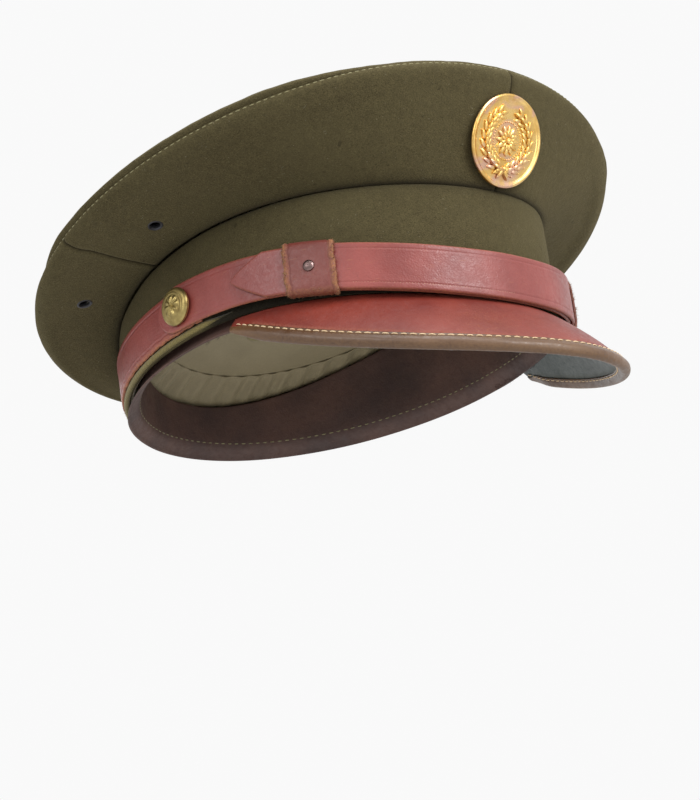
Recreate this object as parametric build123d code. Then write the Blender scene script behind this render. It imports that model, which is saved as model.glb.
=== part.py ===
from build123d import *
from math import asin, atan2, cos, degrees, radians, sin
import os

# Military peaked cap, millimetres. +Z is up, the visor points to -Y and +X is the wearer's left.
# The origin is the centre of the head opening, level with the band's edge at the sides and back.
# Angles are measured round the head from the front: 90 degrees is the wearer's right side.

# Ovals: half length front to back, half width, and how far the centre sits behind the origin.
BASE_OVAL = (101.5, 83.8, 3.0)
BAND_TOP_OVAL = (104.5, 81.7, 2.3)
CROWN_OVAL = (123.0, 129.5, -0.5)

# Heights at the front, at the side and at the back.
BAND_TOP_HEIGHTS = (34.8, 41.2, 22.5)
CROWN_HEIGHTS = (80.0, 50.5, 29.5)
FRONT_DIP = 12.0  # how far the band's lower edge drops towards the visor

CLOTH = 1.6
GAP = 0.2  # between neighbouring layers
SIDE_SEAM = 98.0
BACK = 180.0

WELT_RADIUS = 1.6
SEAT_DROP = 2.2 * WELT_RADIUS  # from the crown's edge down to the top of the quarters
HOOP_RADIUS = 0.9
HOOP_INBOARD = 7.0
CROWN_LIFT = 0.4  # the underside of the top cloth above the crown's curve
SEAM_HALF_ANGLE = 0.12

# Spans are shares of the way up a wall.
QUARTER_SPAN = (0.02, 0.97)
BAND_COVER_SPAN = (0.05, 0.985)
BAND_STIFFENER_SPAN = (0.08, 0.94)
PIPING_SPAN = (-0.03, 0.04)
PIPING_FACE = 0.9
FRONT_STIFFENER_SPAN = (0.06, 0.86)
FRONT_STIFFENER_ANGLE = 24.0
FRONT_STIFFENER_THICKNESS = 1.0

STIFFENER_FACE = -1.9
STIFFENER_THICKNESS = 1.1
SWEATBAND_INSET = (4.2, 8.0)  # at its lower and upper edges
SWEATBAND_THICKNESS = 0.9
SWEATBAND_DROP = 2.5
SWEATBAND_DIP_SHARE = 0.7  # of the band's own dip at the front
SWEATBAND_TOP_DROP = 4.0
PIPING_START = 79.0

LINING = 0.6
LINING_INSET = 6.0
LINING_EDGE_DROP = 2.5
LINING_TIP_GAP = 0.5
LINING_TIP_OVAL = (84.0, 70.0, 1.0)
LINING_TIP_DROP = 6.0
SHIELD_LENGTH = 130.0
SHIELD_WIDTH = 100.0
SHIELD_THICKNESS = 0.4
SHIELD_CENTRE = -8.0
SHIELD_CORNER = 12.0
PLATE_REACH = 140.0  # beyond the crown in every direction

# Visor rim: half width, centre line and reach of the rim's oval, and its three height terms.
RIM_HALF_WIDTH = 86.3
RIM_CENTRE = -20.5
RIM_REACH = 113.5
RIM_SQUARENESS = 1.08
RIM_HEIGHTS = (-3.2, -60.0, 15.5)
VISOR_END = 86.0
VISOR_LAYERS = {"visor_top": (0.0, 0.8), "visor_core": (0.9, 2.5), "visor_underside": (2.6, 3.1)}
VISOR_SEAT_DROP = 0.4
BINDING_THICKNESS = 0.7
BINDING_GAP = 0.1
BINDING_WIDTH = 5.6

STRAP_HEIGHT = 19.3
STRAP_THICKNESS = 1.5
STRAP_STANDOFF = (2.3, 3.0)  # at the buttons and at the front
STRAP_EDGE_SIDE = 4.4
STRAP_EDGE_FRONT = -14.0
STRAP_LAP = 1.8  # how far the outer strap stands clear of the inner one
LAP_START = -88.0
LAP_RUN = 18.0
REAR_STRAP_EDGE = 2.0
REAR_STRAP_FACE = 0.3
REAR_STRAP_HEIGHT = 18.8
REAR_STRAP_START = 83.0
OUTER_TONGUE_END = 72.0
INNER_TONGUE_END = 66.0
TONGUE_LENGTH = 9.0
TONGUE_TIP_HEIGHT = 6.0
RIGHT_KEEPER_ANGLE = 52.5
LEFT_KEEPER_ANGLE = -47.0
KEEPER_WIDTH = 20.0
KEEPER_THICKNESS = 1.2
KEEPER_CLEARANCE = 0.3
KEEPER_TURN_RADIUS = 100.0  # of the band where the keepers sit
RIVET_RADIUS = 2.4
RIVET_HEIGHT = 1.0
STRAP_BUTTON_END = 96.0

BUTTON_HEIGHT = 14.0
BUTTON_RADIUS = 7.95
BUTTON_DOME = 3.2
BUTTON_STANDOFF = 0.6
POST_RADIUS = 1.2
POST_CLEARANCE = 0.35
POST_END = 1.3
CLIP_RADIUS = 4.5
CLIP_GAP = 0.8
BUTTON_DEPTH = STRAP_STANDOFF[0] + STRAP_THICKNESS + BUTTON_STANDOFF
CLIP_DEPTH = STIFFENER_FACE - STIFFENER_THICKNESS - CLIP_GAP - BUTTON_DEPTH
POST_LENGTH = POST_END - CLIP_DEPTH

BADGE_RISE = 0.43  # share of the way from the band's top to the crown's edge
BADGE_RADIUS = 19.0
BADGE_POST_RADIUS = 1.5
WASHER_RADIUS = 7.0
WASHER_THICKNESS = 0.6
NUT_RADIUS = 6.0
NUT_HEIGHT = 2.6
NUT_FLUTES = 16

EYELETS = ((84.6, 0.40), (115.9, 0.47))  # angle and rise up the quarter
EYELET_FLANGE = 3.8
EYELET_BARREL = 2.6
EYELET_BORE = 2.1

BOTTOM = (Align.CENTER, Align.CENTER, Align.MIN)
TOP = (Align.CENTER, Align.CENTER, Align.MAX)


# ---------------------------------------------------------------- curves of the cap

def oval(size, angle, height):
    half_length, half_width, shift = size
    turn = radians(angle)
    return Vector(-half_width * sin(turn), shift - half_length * cos(turn), height)


def three_heights(heights, angle):
    """A smooth height that passes through the front, side and back values."""
    front, side, back = heights
    turn = radians(angle)
    mean = (front + back) / 4 + side / 2
    return mean + (front - back) / 2 * cos(turn) + ((front + back) / 4 - side / 2) * cos(2 * turn)


def front_share(angle):
    """1 at the front, 0 from the sides back."""
    return max(cos(radians(angle)), 0.0) ** 2


def band_edge(angle):
    return oval(BASE_OVAL, angle, -FRONT_DIP * front_share(angle))


def band_top(angle):
    return oval(BAND_TOP_OVAL, angle, three_heights(BAND_TOP_HEIGHTS, angle))


def crown_edge(angle):
    return oval(CROWN_OVAL, angle, three_heights(CROWN_HEIGHTS, angle))


def inset_oval(size, inset):
    half_length, half_width, shift = size
    return (half_length - inset, half_width - inset, shift)


def crown_seat(angle):
    """Where the quarters end, just under the welt."""
    return crown_edge(angle) - Vector(0, 0, SEAT_DROP)


def crown_height(y):
    """The crown's own height at a distance y from front to back."""
    reach = (CROWN_OVAL[2] - y) / CROWN_OVAL[0]
    front, side, back = CROWN_HEIGHTS
    return side + (front - back) / 2 * reach + ((front + back) / 2 - side) * reach**2


def crown_slope(y):
    reach = (CROWN_OVAL[2] - y) / CROWN_OVAL[0]
    front, side, back = CROWN_HEIGHTS
    return -((front - back) / 2 + (front + back - 2 * side) * reach) / CROWN_OVAL[0]


def sweatband_edge(angle):
    dip = SWEATBAND_DIP_SHARE * FRONT_DIP * front_share(angle)
    return oval(inset_oval(BASE_OVAL, SWEATBAND_INSET[0]), angle, -SWEATBAND_DROP - dip)


def sweatband_top(angle):
    height = three_heights(BAND_TOP_HEIGHTS, angle) - SWEATBAND_TOP_DROP
    return oval(inset_oval(BAND_TOP_OVAL, SWEATBAND_INSET[1]), angle, height)


def lining_edge(angle):
    height = three_heights(BAND_TOP_HEIGHTS, angle) - LINING_EDGE_DROP
    return oval(inset_oval(BAND_TOP_OVAL, LINING_INSET), angle, height)


def lining_top_edge(angle):
    point = oval(LINING_TIP_OVAL, angle, 0)
    return Vector(point.X, point.Y, crown_height(point.Y) - LINING_TIP_DROP - LINING_TIP_GAP)


# ---------------------------------------------------------------- walls and lofts

class Wall:
    """A straight-ruled wall between two closed curves."""

    def __init__(self, lower, upper):
        self.lower = lower
        self.upper = upper

    def normal(self, angle):
        step = 0.25
        along = (self.lower(angle + step) + self.upper(angle + step)
                 - self.lower(angle - step) - self.upper(angle - step))
        up = self.upper(angle) - self.lower(angle)
        return up.cross(along).normalized()

    def point(self, angle, rise, proud=0.0):
        """A point a share of the way up, standing proud of the wall."""
        base = self.lower(angle) * (1 - rise) + self.upper(angle) * rise
        return base + self.normal(angle) * proud

    def level(self, angle, height, proud=0.0):
        """A point at a given height."""
        low = self.lower(angle)
        high = self.upper(angle)
        return self.point(angle, (height - low.Z) / (high.Z - low.Z), proud)

    def plane(self, angle, rise, proud=0.0):
        """A plane on the wall, facing outwards, its Y up the wall."""
        up = (self.upper(angle) - self.lower(angle)).normalized()
        normal = self.normal(angle)
        return Plane(self.point(angle, rise, proud), x_dir=up.cross(normal), z_dir=normal)

    def strip(self, angle, low, high, inner, outer):
        """The cross-section of a skin on the wall."""
        corners = [self.point(angle, low, inner), self.point(angle, high, inner),
                   self.point(angle, high, outer), self.point(angle, low, outer)]
        return Wire.make_polygon(corners, close=True)

    def skin(self, angles, low, high, inner, outer):
        return Solid.make_loft([self.strip(angle, low, high, inner, outer) for angle in angles])


BAND = Wall(band_edge, band_top)
QUARTER = Wall(band_top, crown_seat)
SWEATBAND = Wall(sweatband_edge, sweatband_top)
LINING_SIDE = Wall(lining_edge, lining_top_edge)


def steps(start, end, pitch=12.0):
    count = max(2, round(abs(end - start) / pitch))
    return [start + (end - start) * number / count for number in range(count + 1)]


def both_sides(solid):
    return solid + mirror(solid, about=Plane.YZ)


def ring(wall, low, high, inner, outer, start=0.0):
    return both_sides(wall.skin(steps(start, BACK), low, high, inner, outer))


def round_ring(path, radius):
    """A round bar that follows a closed curve."""
    sections = []
    for angle in steps(0, BACK):
        along = path(angle + 0.25) - path(angle - 0.25)
        sections.append(Wire.make_circle(radius, Plane(path(angle), z_dir=along)))
    return both_sides(Solid.make_loft(sections))


def curved_plate(outline, top, thickness):
    """A plate of the outline's shape that follows the crown's curve, its upper face at top."""
    near, far = -PLATE_REACH, PLATE_REACH

    def parabola(lift):
        ends = [(0, y, crown_height(y) + lift) for y in (near, far)]
        pole = (0, 0, crown_height(near) - crown_slope(near) * near + lift)
        return Edge.make_bezier(ends[0], pole, ends[1])

    upper = parabola(top)
    lower = parabola(top - thickness)
    sides = [Edge.make_line(lower @ end, upper @ end) for end in (0, 1)]
    profile = Face(Wire([upper, sides[0], lower, sides[1]]))
    slab = extrude(Pos(near, 0, 0) * profile, far - near, dir=(1, 0, 0))
    prism = extrude(outline, PLATE_REACH, both=True)
    return slab & prism


def oval_face(size, inset=0.0):
    half_length, half_width, shift = inset_oval(size, inset)
    return Pos(0, shift) * Ellipse(half_width, half_length)


# ---------------------------------------------------------------- crown

def make_crown_top():
    return curved_plate(oval_face(CROWN_OVAL, 2 * WELT_RADIUS + GAP), CROWN_LIFT + CLOTH, CLOTH)


def make_crown_welt():
    def path(angle):
        return oval(inset_oval(CROWN_OVAL, WELT_RADIUS), angle, three_heights(CROWN_HEIGHTS, angle))

    return round_ring(path, WELT_RADIUS)


def make_crown_hoop():
    def path(angle):
        point = oval(inset_oval(CROWN_OVAL, HOOP_INBOARD), angle, 0)
        return Vector(point.X, point.Y, crown_height(point.Y) + CROWN_LIFT - GAP - HOOP_RADIUS)

    return round_ring(path, HOOP_RADIUS)


def eyelet_planes():
    right = [QUARTER.plane(angle, rise) for angle, rise in EYELETS]
    left = [QUARTER.plane(-angle, rise) for angle, rise in EYELETS]
    return right + left


def make_quarter(start, end):
    """A crown quarter, with holes for its eyelets, and for the badge post at the front."""
    angles = steps(start + SEAM_HALF_ANGLE, end - SEAM_HALF_ANGLE)
    quarter = QUARTER.skin(angles, *QUARTER_SPAN, -CLOTH, 0)
    drill = 12
    for plane in eyelet_planes():
        quarter -= plane * Cylinder(EYELET_BARREL + GAP / 2, drill)
    return quarter - BADGE_PLANE * Cylinder(BADGE_POST_RADIUS + GAP, drill)


def make_vent_eyelets():
    lift, flange_height = 0.1, 0.7
    length, drill = 3.0, 12
    flange = Pos(0, 0, lift) * Cylinder(EYELET_FLANGE, flange_height, align=BOTTOM)
    barrel = Pos(0, 0, lift + 0.3) * Cylinder(EYELET_BARREL, length, align=TOP)
    eyelet = flange + barrel - Cylinder(EYELET_BORE, drill)
    return Compound(children=[plane * eyelet for plane in eyelet_planes()])


def make_vent_washers():
    thickness, drill, bore_gap = 0.5, 4, 0.05
    disc = Cylinder(EYELET_FLANGE, thickness, align=TOP) - Cylinder(EYELET_BARREL + bore_gap, drill)
    washer = Pos(0, 0, -CLOTH - GAP / 2) * disc
    return Compound(children=[plane * washer for plane in eyelet_planes()])


def make_front_stiffener():
    angles = steps(-FRONT_STIFFENER_ANGLE, FRONT_STIFFENER_ANGLE)
    face = -CLOTH - GAP
    pad = QUARTER.skin(angles, *FRONT_STIFFENER_SPAN, face - FRONT_STIFFENER_THICKNESS, face)
    drill = 20
    return pad - BADGE_PLANE * Cylinder(BADGE_POST_RADIUS + GAP, drill)


# ---------------------------------------------------------------- band, sweatband and lining

def button_hole(solid):
    """Clears both button posts through a layer of the band."""
    length = 2 * PLATE_REACH
    post = Pos(0, 0, BUTTON_HEIGHT) * Rot(0, 90, 0) * Cylinder(POST_RADIUS + POST_CLEARANCE, length)
    return solid - post


def make_band_cover():
    return button_hole(ring(BAND, *BAND_COVER_SPAN, -CLOTH, 0))


def make_band_stiffener():
    back = STIFFENER_FACE - STIFFENER_THICKNESS
    return button_hole(ring(BAND, *BAND_STIFFENER_SPAN, back, STIFFENER_FACE))


def make_band_piping():
    return ring(BAND, *PIPING_SPAN, -CLOTH, PIPING_FACE, PIPING_START)


def make_sweatband():
    return ring(SWEATBAND, 0, 1, -SWEATBAND_THICKNESS, 0)


def make_lining_side():
    return ring(LINING_SIDE, 0, 1, -LINING, 0)


def make_lining_tip():
    return curved_plate(oval_face(LINING_TIP_OVAL), GAP - LINING_TIP_DROP, LINING)


def make_sweat_shield():
    side = SHIELD_LENGTH / 2**0.5
    lozenge = Pos(0, SHIELD_CENTRE) * Rot(0, 0, 45) * Rectangle(side, side)
    rounded = fillet(lozenge.vertices(), SHIELD_CORNER)
    outline = rounded & Pos(0, SHIELD_CENTRE) * Rectangle(SHIELD_WIDTH, SHIELD_LENGTH)
    return curved_plate(outline, -LINING_TIP_DROP - 2 * LINING, SHIELD_THICKNESS)


# ---------------------------------------------------------------- visor

def rim(angle):
    turn = radians(angle)
    forward = cos(turn)
    reach = forward**RIM_SQUARENESS
    side = abs(sin(turn)) ** RIM_SQUARENESS
    base, slope, bow = RIM_HEIGHTS
    x = -RIM_HALF_WIDTH * side if angle > 0 else RIM_HALF_WIDTH * side
    return Vector(x, RIM_CENTRE - RIM_REACH * reach, base + slope * forward + bow * forward**2)


def visor_root(angle):
    """The point of the band's edge that a rim point grows from, just under the band."""
    half_length, half_width, shift = BASE_OVAL
    point = rim(angle)
    round_head = degrees(atan2(-point.X / half_width, (shift - point.Y) / half_length))
    return band_edge(round_head) - Vector(0, 0, VISOR_SEAT_DROP)


def visor_frame(angle):
    """Root, rim, the direction between them and the downward normal, at one section."""
    step = 0.25
    root, edge = visor_root(angle), rim(angle)
    out = (edge - root).normalized()
    along = rim(angle + step) - rim(angle - step)
    down = out.cross(along).normalized()
    if down.Z > 0:
        down = down * -1
    return root, edge, out, down


VISOR_ANGLES = [0, 12, 24, 36, 48, 58, 67, 75, 81, VISOR_END]


def make_visor_layer(near, far):
    sections = []
    for angle in VISOR_ANGLES:
        root, edge, out, down = visor_frame(angle)
        tip = edge - out * (BINDING_THICKNESS + GAP)
        corners = [root + down * near, tip + down * near, tip + down * far, root + down * far]
        sections.append(Wire.make_polygon(corners, close=True))
    return both_sides(Solid.make_loft(sections))


def make_visor_binding():
    """A U-shaped strip folded over the rim."""
    top = -BINDING_GAP
    under = max(far for _, far in VISOR_LAYERS.values()) + BINDING_GAP
    wall = BINDING_THICKNESS
    narrow_share = 0.6
    sections = []
    for angle in VISOR_ANGLES:
        root, edge, out, down = visor_frame(angle)
        inner = edge - out * wall
        lip = edge - out * min(BINDING_WIDTH, narrow_share * (edge - root).length)
        corners = [lip + down * (top - wall), edge + down * (top - wall),
                   edge + down * (under + wall), lip + down * (under + wall),
                   lip + down * under, inner + down * under,
                   inner + down * top, lip + down * top]
        sections.append(Wire.make_polygon(corners, close=True))
    return both_sides(Solid.make_loft(sections))


# ---------------------------------------------------------------- straps

def strap_edge(angle):
    return STRAP_EDGE_SIDE + (STRAP_EDGE_FRONT - STRAP_EDGE_SIDE) * front_share(angle)


def strap_face(angle):
    side, front = STRAP_STANDOFF
    return side + (front - side) * front_share(angle)


def smooth(share):
    share = min(max(share, 0.0), 1.0)
    return share * share * (3 - 2 * share)


def strap_section(angle, low, high, inner, outer):
    corners = [BAND.level(angle, low, inner), BAND.level(angle, high, inner),
               BAND.level(angle, high, outer), BAND.level(angle, low, outer)]
    return Wire.make_polygon(corners, close=True)


def strap_solid(start, end, face, pitch=7.0):
    """A strap from a button end at start to a pointed tongue at end."""
    taper = end - TONGUE_LENGTH if end > start else end + TONGUE_LENGTH
    angles = steps(start, taper, pitch) + [end]
    sections = []
    for angle in angles:
        low = strap_edge(angle)
        high = low + STRAP_HEIGHT
        if angle == end:
            middle = (low + high) / 2
            low = middle - TONGUE_TIP_HEIGHT / 2
            high = middle + TONGUE_TIP_HEIGHT / 2
        sections.append(strap_section(angle, low, high, face(angle), face(angle) + STRAP_THICKNESS))
    return Solid.make_loft(sections, ruled=True)


def make_chin_strap_inner():
    return button_hole(strap_solid(STRAP_BUTTON_END, -INNER_TONGUE_END, strap_face))


def outer_face(angle):
    return strap_face(angle) + STRAP_LAP * smooth((angle - LAP_START) / LAP_RUN)


def make_chin_strap_outer():
    return button_hole(strap_solid(-STRAP_BUTTON_END, OUTER_TONGUE_END, outer_face))


def make_keeper(angle):
    """A leather loop round both straps."""
    half = degrees(asin(KEEPER_WIDTH / 2 / KEEPER_TURN_RADIUS))
    wall = KEEPER_THICKNESS
    outsides = []
    hollows = []
    for place in steps(angle - half, angle + half, 4):
        low = strap_edge(place) - KEEPER_CLEARANCE
        high = low + STRAP_HEIGHT + 2 * KEEPER_CLEARANCE
        inner = strap_face(place) - KEEPER_CLEARANCE
        outer = outer_face(place) + STRAP_THICKNESS + KEEPER_CLEARANCE
        outsides.append(strap_section(place, low - wall, high + wall, inner - wall, outer + wall))
        hollows.append(strap_section(place, low, high, inner, outer))
    return Solid.make_loft(outsides, ruled=True) - Solid.make_loft(hollows, ruled=True)


def rivet_plane(angle):
    height = strap_edge(angle) + STRAP_HEIGHT / 2
    proud = outer_face(angle) + STRAP_THICKNESS + KEEPER_CLEARANCE + KEEPER_THICKNESS
    return Plane(BAND.level(angle, height, proud), x_dir=(0, 0, 1), z_dir=BAND.normal(angle))


def make_keeper_rivets():
    lift, rounding = 0.1, 0.9
    blank = Pos(0, 0, lift) * Cylinder(RIVET_RADIUS, RIVET_HEIGHT, align=BOTTOM)
    head = fillet(blank.edges().sort_by(Axis.Z)[-1], rounding)
    keepers = (RIGHT_KEEPER_ANGLE, LEFT_KEEPER_ANGLE)
    return Compound(children=[rivet_plane(angle) * head for angle in keepers])


def make_rear_strap():
    sections = []
    face = REAR_STRAP_FACE
    for angle in steps(REAR_STRAP_START, BACK, 7):
        back = smooth((angle - 90) / 90)
        low = STRAP_EDGE_SIDE + (REAR_STRAP_EDGE - STRAP_EDGE_SIDE) * back
        high = low + REAR_STRAP_HEIGHT
        sections.append(strap_section(angle, low, high, face, face + STRAP_THICKNESS))
    return button_hole(both_sides(Solid.make_loft(sections)))


# ---------------------------------------------------------------- side buttons

def button_plane(side):
    """The seat of a side button: its Z points out from the head, -1 is the wearer's right."""
    reach = BUTTON_DEPTH - BAND.level(90, BUTTON_HEIGHT).X
    return Plane((side * reach, 0, BUTTON_HEIGHT), x_dir=(0, 1, 0), z_dir=(side, 0, 0))


def make_button_dome(side):
    """The stamped front, a domed shell with a rim."""
    rim_height = 1.0
    base = 0.7
    wall = 0.7
    rise = BUTTON_DOME - rim_height
    sphere_radius = (BUTTON_RADIUS**2 + rise**2) / (2 * rise)
    ball = Pos(0, 0, BUTTON_DOME - sphere_radius) * Sphere(sphere_radius)
    blank = Pos(0, 0, base) * Cylinder(BUTTON_RADIUS, 2 * BUTTON_DOME, align=BOTTOM)
    hollow = Cylinder(BUTTON_RADIUS - wall, 2 * BUTTON_DOME, align=BOTTOM)
    return button_plane(side) * ((blank & ball) - (hollow & Pos(0, 0, -wall) * ball))


def make_button_back(side):
    """The back plate with its post, grooved for the retaining clip."""
    inset, thickness = 0.4, 0.6
    groove_depth, groove_width = 0.4, 0.9
    plate = Cylinder(BUTTON_RADIUS - inset, thickness, align=BOTTOM)
    post = Cylinder(POST_RADIUS, POST_LENGTH, align=TOP)
    collar = Cylinder(2 * POST_RADIUS, groove_width)
    groove = collar - Cylinder(POST_RADIUS - groove_depth, groove_width)
    return button_plane(side) * (plate + post - Pos(0, 0, CLIP_DEPTH) * groove)


def make_button_clip(side):
    """A flat spring clip that snaps into the post's groove."""
    thickness, drill, neck = 0.7, 2, POST_RADIUS - 0.35
    disc = Cylinder(CLIP_RADIUS, thickness) - Cylinder(neck, drill)
    slot_length = 6
    slot = Pos(0, slot_length / 2, 0) * Box(2 * neck - GAP, slot_length, drill)
    return button_plane(side) * Pos(0, 0, CLIP_DEPTH) * (disc - slot)


# ---------------------------------------------------------------- cap badge

BADGE_PLANE = QUARTER.plane(0, BADGE_RISE)


def make_badge_disc():
    """A pressed disc with a raised round rim and a flat field."""
    back, edge = 0.6, 1.4
    rim_top, shoulder = 3.0, 2.6
    field = 1.9
    profile = Wire.make_polygon([(0, 0, 1.0), (BADGE_RADIUS - 1, 0, back), (BADGE_RADIUS, 0, edge),
                                 (BADGE_RADIUS - 0.5, 0, shoulder),
                                 (BADGE_RADIUS - 1.3, 0, rim_top),
                                 (BADGE_RADIUS - 2.2, 0, shoulder),
                                 (BADGE_RADIUS - 3.0, 0, field), (0, 0, field)], close=True)
    return BADGE_PLANE * revolve(Face(profile), Axis.Z)


def leaf(length, width):
    half = length / 2
    bulge = width / 2
    outline = Wire([Edge.make_three_point_arc((-half, 0), (0, bulge), (half, 0)),
                    Edge.make_three_point_arc((half, 0), (0, -bulge), (-half, 0))])
    return Face(outline)


def make_badge_emblem():
    """A plain rosette inside a laurel wreath, joined by four spokes."""
    seat = 2.0
    boss_radius, petals, petal_centre = 2.6, 8, 3.8
    rosette = Circle(boss_radius)
    for number in range(petals):
        rosette += Rot(0, 0, 360 / petals * number) * Pos(petal_centre, 0) * leaf(6.4, 3.0)
    wreath_radius, stem, opening = 10.5, 0.8, 5.0
    wreath = Circle(wreath_radius + stem / 2) - Circle(wreath_radius - stem / 2)
    wreath -= Pos(0, wreath_radius) * Rectangle(opening, opening)
    first_leaf, leaf_pitch, lean, leaf_offset = -76, 23.4, 28, 1.5
    for number in range(7):
        turn = first_leaf + leaf_pitch * number
        for side in (-1, 1):
            heading = turn if side > 0 else 180 - turn
            for row in (-1, 1):
                place = Rot(0, 0, heading) * Pos(wreath_radius + leaf_offset * row, 0)
                wreath += place * Rot(0, 0, 90 + lean * row * side) * leaf(5.2, 2.4)
    span, spoke = 2 * wreath_radius, 1.2
    spokes = Rectangle(span, spoke) + Rectangle(spoke, span)
    emblem = Part()
    for sketch, height in ((rosette, 1.5), (wreath, 1.2), (spokes, 0.5)):
        emblem += extrude(sketch, height, dir=(0, 0, 1))
    return BADGE_PLANE * Pos(0, 0, seat) * emblem


def make_badge_post():
    disc_back, length = 0.9, 10.4
    return BADGE_PLANE * Pos(0, 0, disc_back) * Cylinder(BADGE_POST_RADIUS, length, align=TOP)


WASHER_SEAT = -CLOTH - FRONT_STIFFENER_THICKNESS - 3 * GAP


def make_badge_washer():
    bore_gap, drill = 0.1, 3
    disc = Cylinder(WASHER_RADIUS, WASHER_THICKNESS, align=TOP)
    washer = disc - Cylinder(BADGE_POST_RADIUS + bore_gap, drill)
    return BADGE_PLANE * Pos(0, 0, WASHER_SEAT) * washer


def make_badge_nut():
    """A round nut with a fluted edge."""
    bore_gap, drill = 0.06, 8
    flute_radius, flute_outboard = 0.7, 0.3
    nut = Cylinder(NUT_RADIUS, NUT_HEIGHT, align=TOP) - Cylinder(BADGE_POST_RADIUS + bore_gap, drill)
    flute = Pos(NUT_RADIUS + flute_outboard, 0) * Cylinder(flute_radius, drill)
    for number in range(NUT_FLUTES):
        nut -= Rot(0, 0, 360 / NUT_FLUTES * number) * flute
    return BADGE_PLANE * Pos(0, 0, WASHER_SEAT - WASHER_THICKNESS - GAP) * nut


NODES = {
    "crown_top": make_crown_top(),
    "crown_welt": make_crown_welt(),
    "crown_hoop": make_crown_hoop(),
    "quarter_front_right": make_quarter(0, SIDE_SEAM),
    "quarter_front_left": make_quarter(-SIDE_SEAM, 0),
    "quarter_rear_right": make_quarter(SIDE_SEAM, BACK),
    "quarter_rear_left": make_quarter(-BACK, -SIDE_SEAM),
    "vent_eyelets": make_vent_eyelets(),
    "vent_washers": make_vent_washers(),
    "front_stiffener": make_front_stiffener(),
    "band_cover": make_band_cover(),
    "band_stiffener": make_band_stiffener(),
    "band_piping": make_band_piping(),
    "sweatband": make_sweatband(),
    "lining_side": make_lining_side(),
    "lining_tip": make_lining_tip(),
    "sweat_shield": make_sweat_shield(),
    "visor_binding": make_visor_binding(),
    "chin_strap_inner": make_chin_strap_inner(),
    "chin_strap_outer": make_chin_strap_outer(),
    "keeper_right": make_keeper(RIGHT_KEEPER_ANGLE),
    "keeper_left": make_keeper(LEFT_KEEPER_ANGLE),
    "keeper_rivets": make_keeper_rivets(),
    "rear_strap": make_rear_strap(),
    "badge_disc": make_badge_disc(),
    "badge_emblem": make_badge_emblem(),
    "badge_post": make_badge_post(),
    "badge_washer": make_badge_washer(),
    "badge_nut": make_badge_nut(),
}
for name, (near, far) in VISOR_LAYERS.items():
    NODES[name] = make_visor_layer(near, far)
for word, side in (("right", -1), ("left", 1)):
    NODES[f"button_dome_{word}"] = make_button_dome(side)
    NODES[f"button_back_{word}"] = make_button_back(side)
    NODES[f"button_clip_{word}"] = make_button_clip(side)

os.makedirs("parts", exist_ok=True)
for name, solid in NODES.items():
    export_step(solid, f"parts/{name}.step")
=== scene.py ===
import bmesh
import bpy
import numpy as np
from mathutils import Matrix, Vector


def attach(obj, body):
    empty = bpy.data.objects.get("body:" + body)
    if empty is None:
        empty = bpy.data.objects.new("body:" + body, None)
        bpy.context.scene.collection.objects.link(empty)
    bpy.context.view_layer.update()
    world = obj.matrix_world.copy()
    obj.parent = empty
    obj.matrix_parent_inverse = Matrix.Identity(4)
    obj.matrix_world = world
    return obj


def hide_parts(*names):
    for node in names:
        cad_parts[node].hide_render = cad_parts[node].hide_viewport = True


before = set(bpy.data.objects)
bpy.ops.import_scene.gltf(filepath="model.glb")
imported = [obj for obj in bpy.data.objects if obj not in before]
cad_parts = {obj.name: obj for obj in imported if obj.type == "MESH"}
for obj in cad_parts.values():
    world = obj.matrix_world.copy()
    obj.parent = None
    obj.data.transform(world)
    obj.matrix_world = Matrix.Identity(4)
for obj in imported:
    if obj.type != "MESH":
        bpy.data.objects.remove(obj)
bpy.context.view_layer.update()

# Military peaked cap, looks only. Shapes are worked out in millimetres, in the frame's axes:
# +Z up, visor to -Y, +X the wearer's left. Angles run round the head from the front, and
# 90 degrees is the wearer's right. The dimensions repeat the CAD source's.
MM = 0.001
RNG = np.random.default_rng(7)

BASE_OVAL = (101.5, 83.8, 3.0)
BAND_TOP_OVAL = (104.5, 81.7, 2.3)
CROWN_OVAL = (123.0, 129.5, -0.5)
BAND_TOP_HEIGHTS = (34.8, 41.2, 22.5)
CROWN_HEIGHTS = (80.0, 50.5, 29.5)
FRONT_DIP = 12.0
CLOTH = 1.6
SIDE_SEAM = 98.0
PIPING_START = 79.0
WELT_RADIUS = 1.6

RIM_HALF_WIDTH, RIM_CENTRE, RIM_REACH, RIM_SQUARENESS = 86.3, -20.5, 113.5, 1.08
RIM_HEIGHTS = (-3.2, -60.0, 15.5)
VISOR_END = 86.0

STRAP_HEIGHT, STRAP_THICKNESS, STRAP_LAP = 19.3, 1.5, 1.8
STRAP_STANDOFF = (2.3, 3.0)
STRAP_EDGE_SIDE, STRAP_EDGE_FRONT = 4.4, -14.0
OUTER_TONGUE_END, INNER_TONGUE_END, STRAP_BUTTON_END = 72.0, 66.0, 96.0
KEEPERS = {"right": 52.5, "left": -47.0}
KEEPER_WIDTH, KEEPER_THICKNESS = 20.0, 1.2
BUTTON_HEIGHT, BUTTON_RADIUS, BUTTON_DOME = 14.0, 7.95, 3.2
BADGE_RISE = 0.43
EYELETS = ((84.6, 0.40), (115.9, 0.47))
EYELET_BORE, EYELET_BARREL = 2.1, 2.6

# Looks only: how far the cloth turns in over the crown's edge, the length of wall that turns,
# the stitch row's distance below that edge, and the width of the visor's binding.
RIM_ROLL, RIM_TURN_LENGTH = 2.6, 5.0
CROWN_STITCH_DROP = 1.2
BINDING_WIDTH = 6.0


# ---------------------------------------------------------------- curves of the cap

def oval(size, angle, height):
    half_length, half_width, shift = size
    turn = np.radians(angle)
    return np.stack([-half_width * np.sin(turn), shift - half_length * np.cos(turn),
                     height + 0 * turn], -1)


def shrunk(size, inset):
    return (size[0] - inset, size[1] - inset, size[2])


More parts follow.
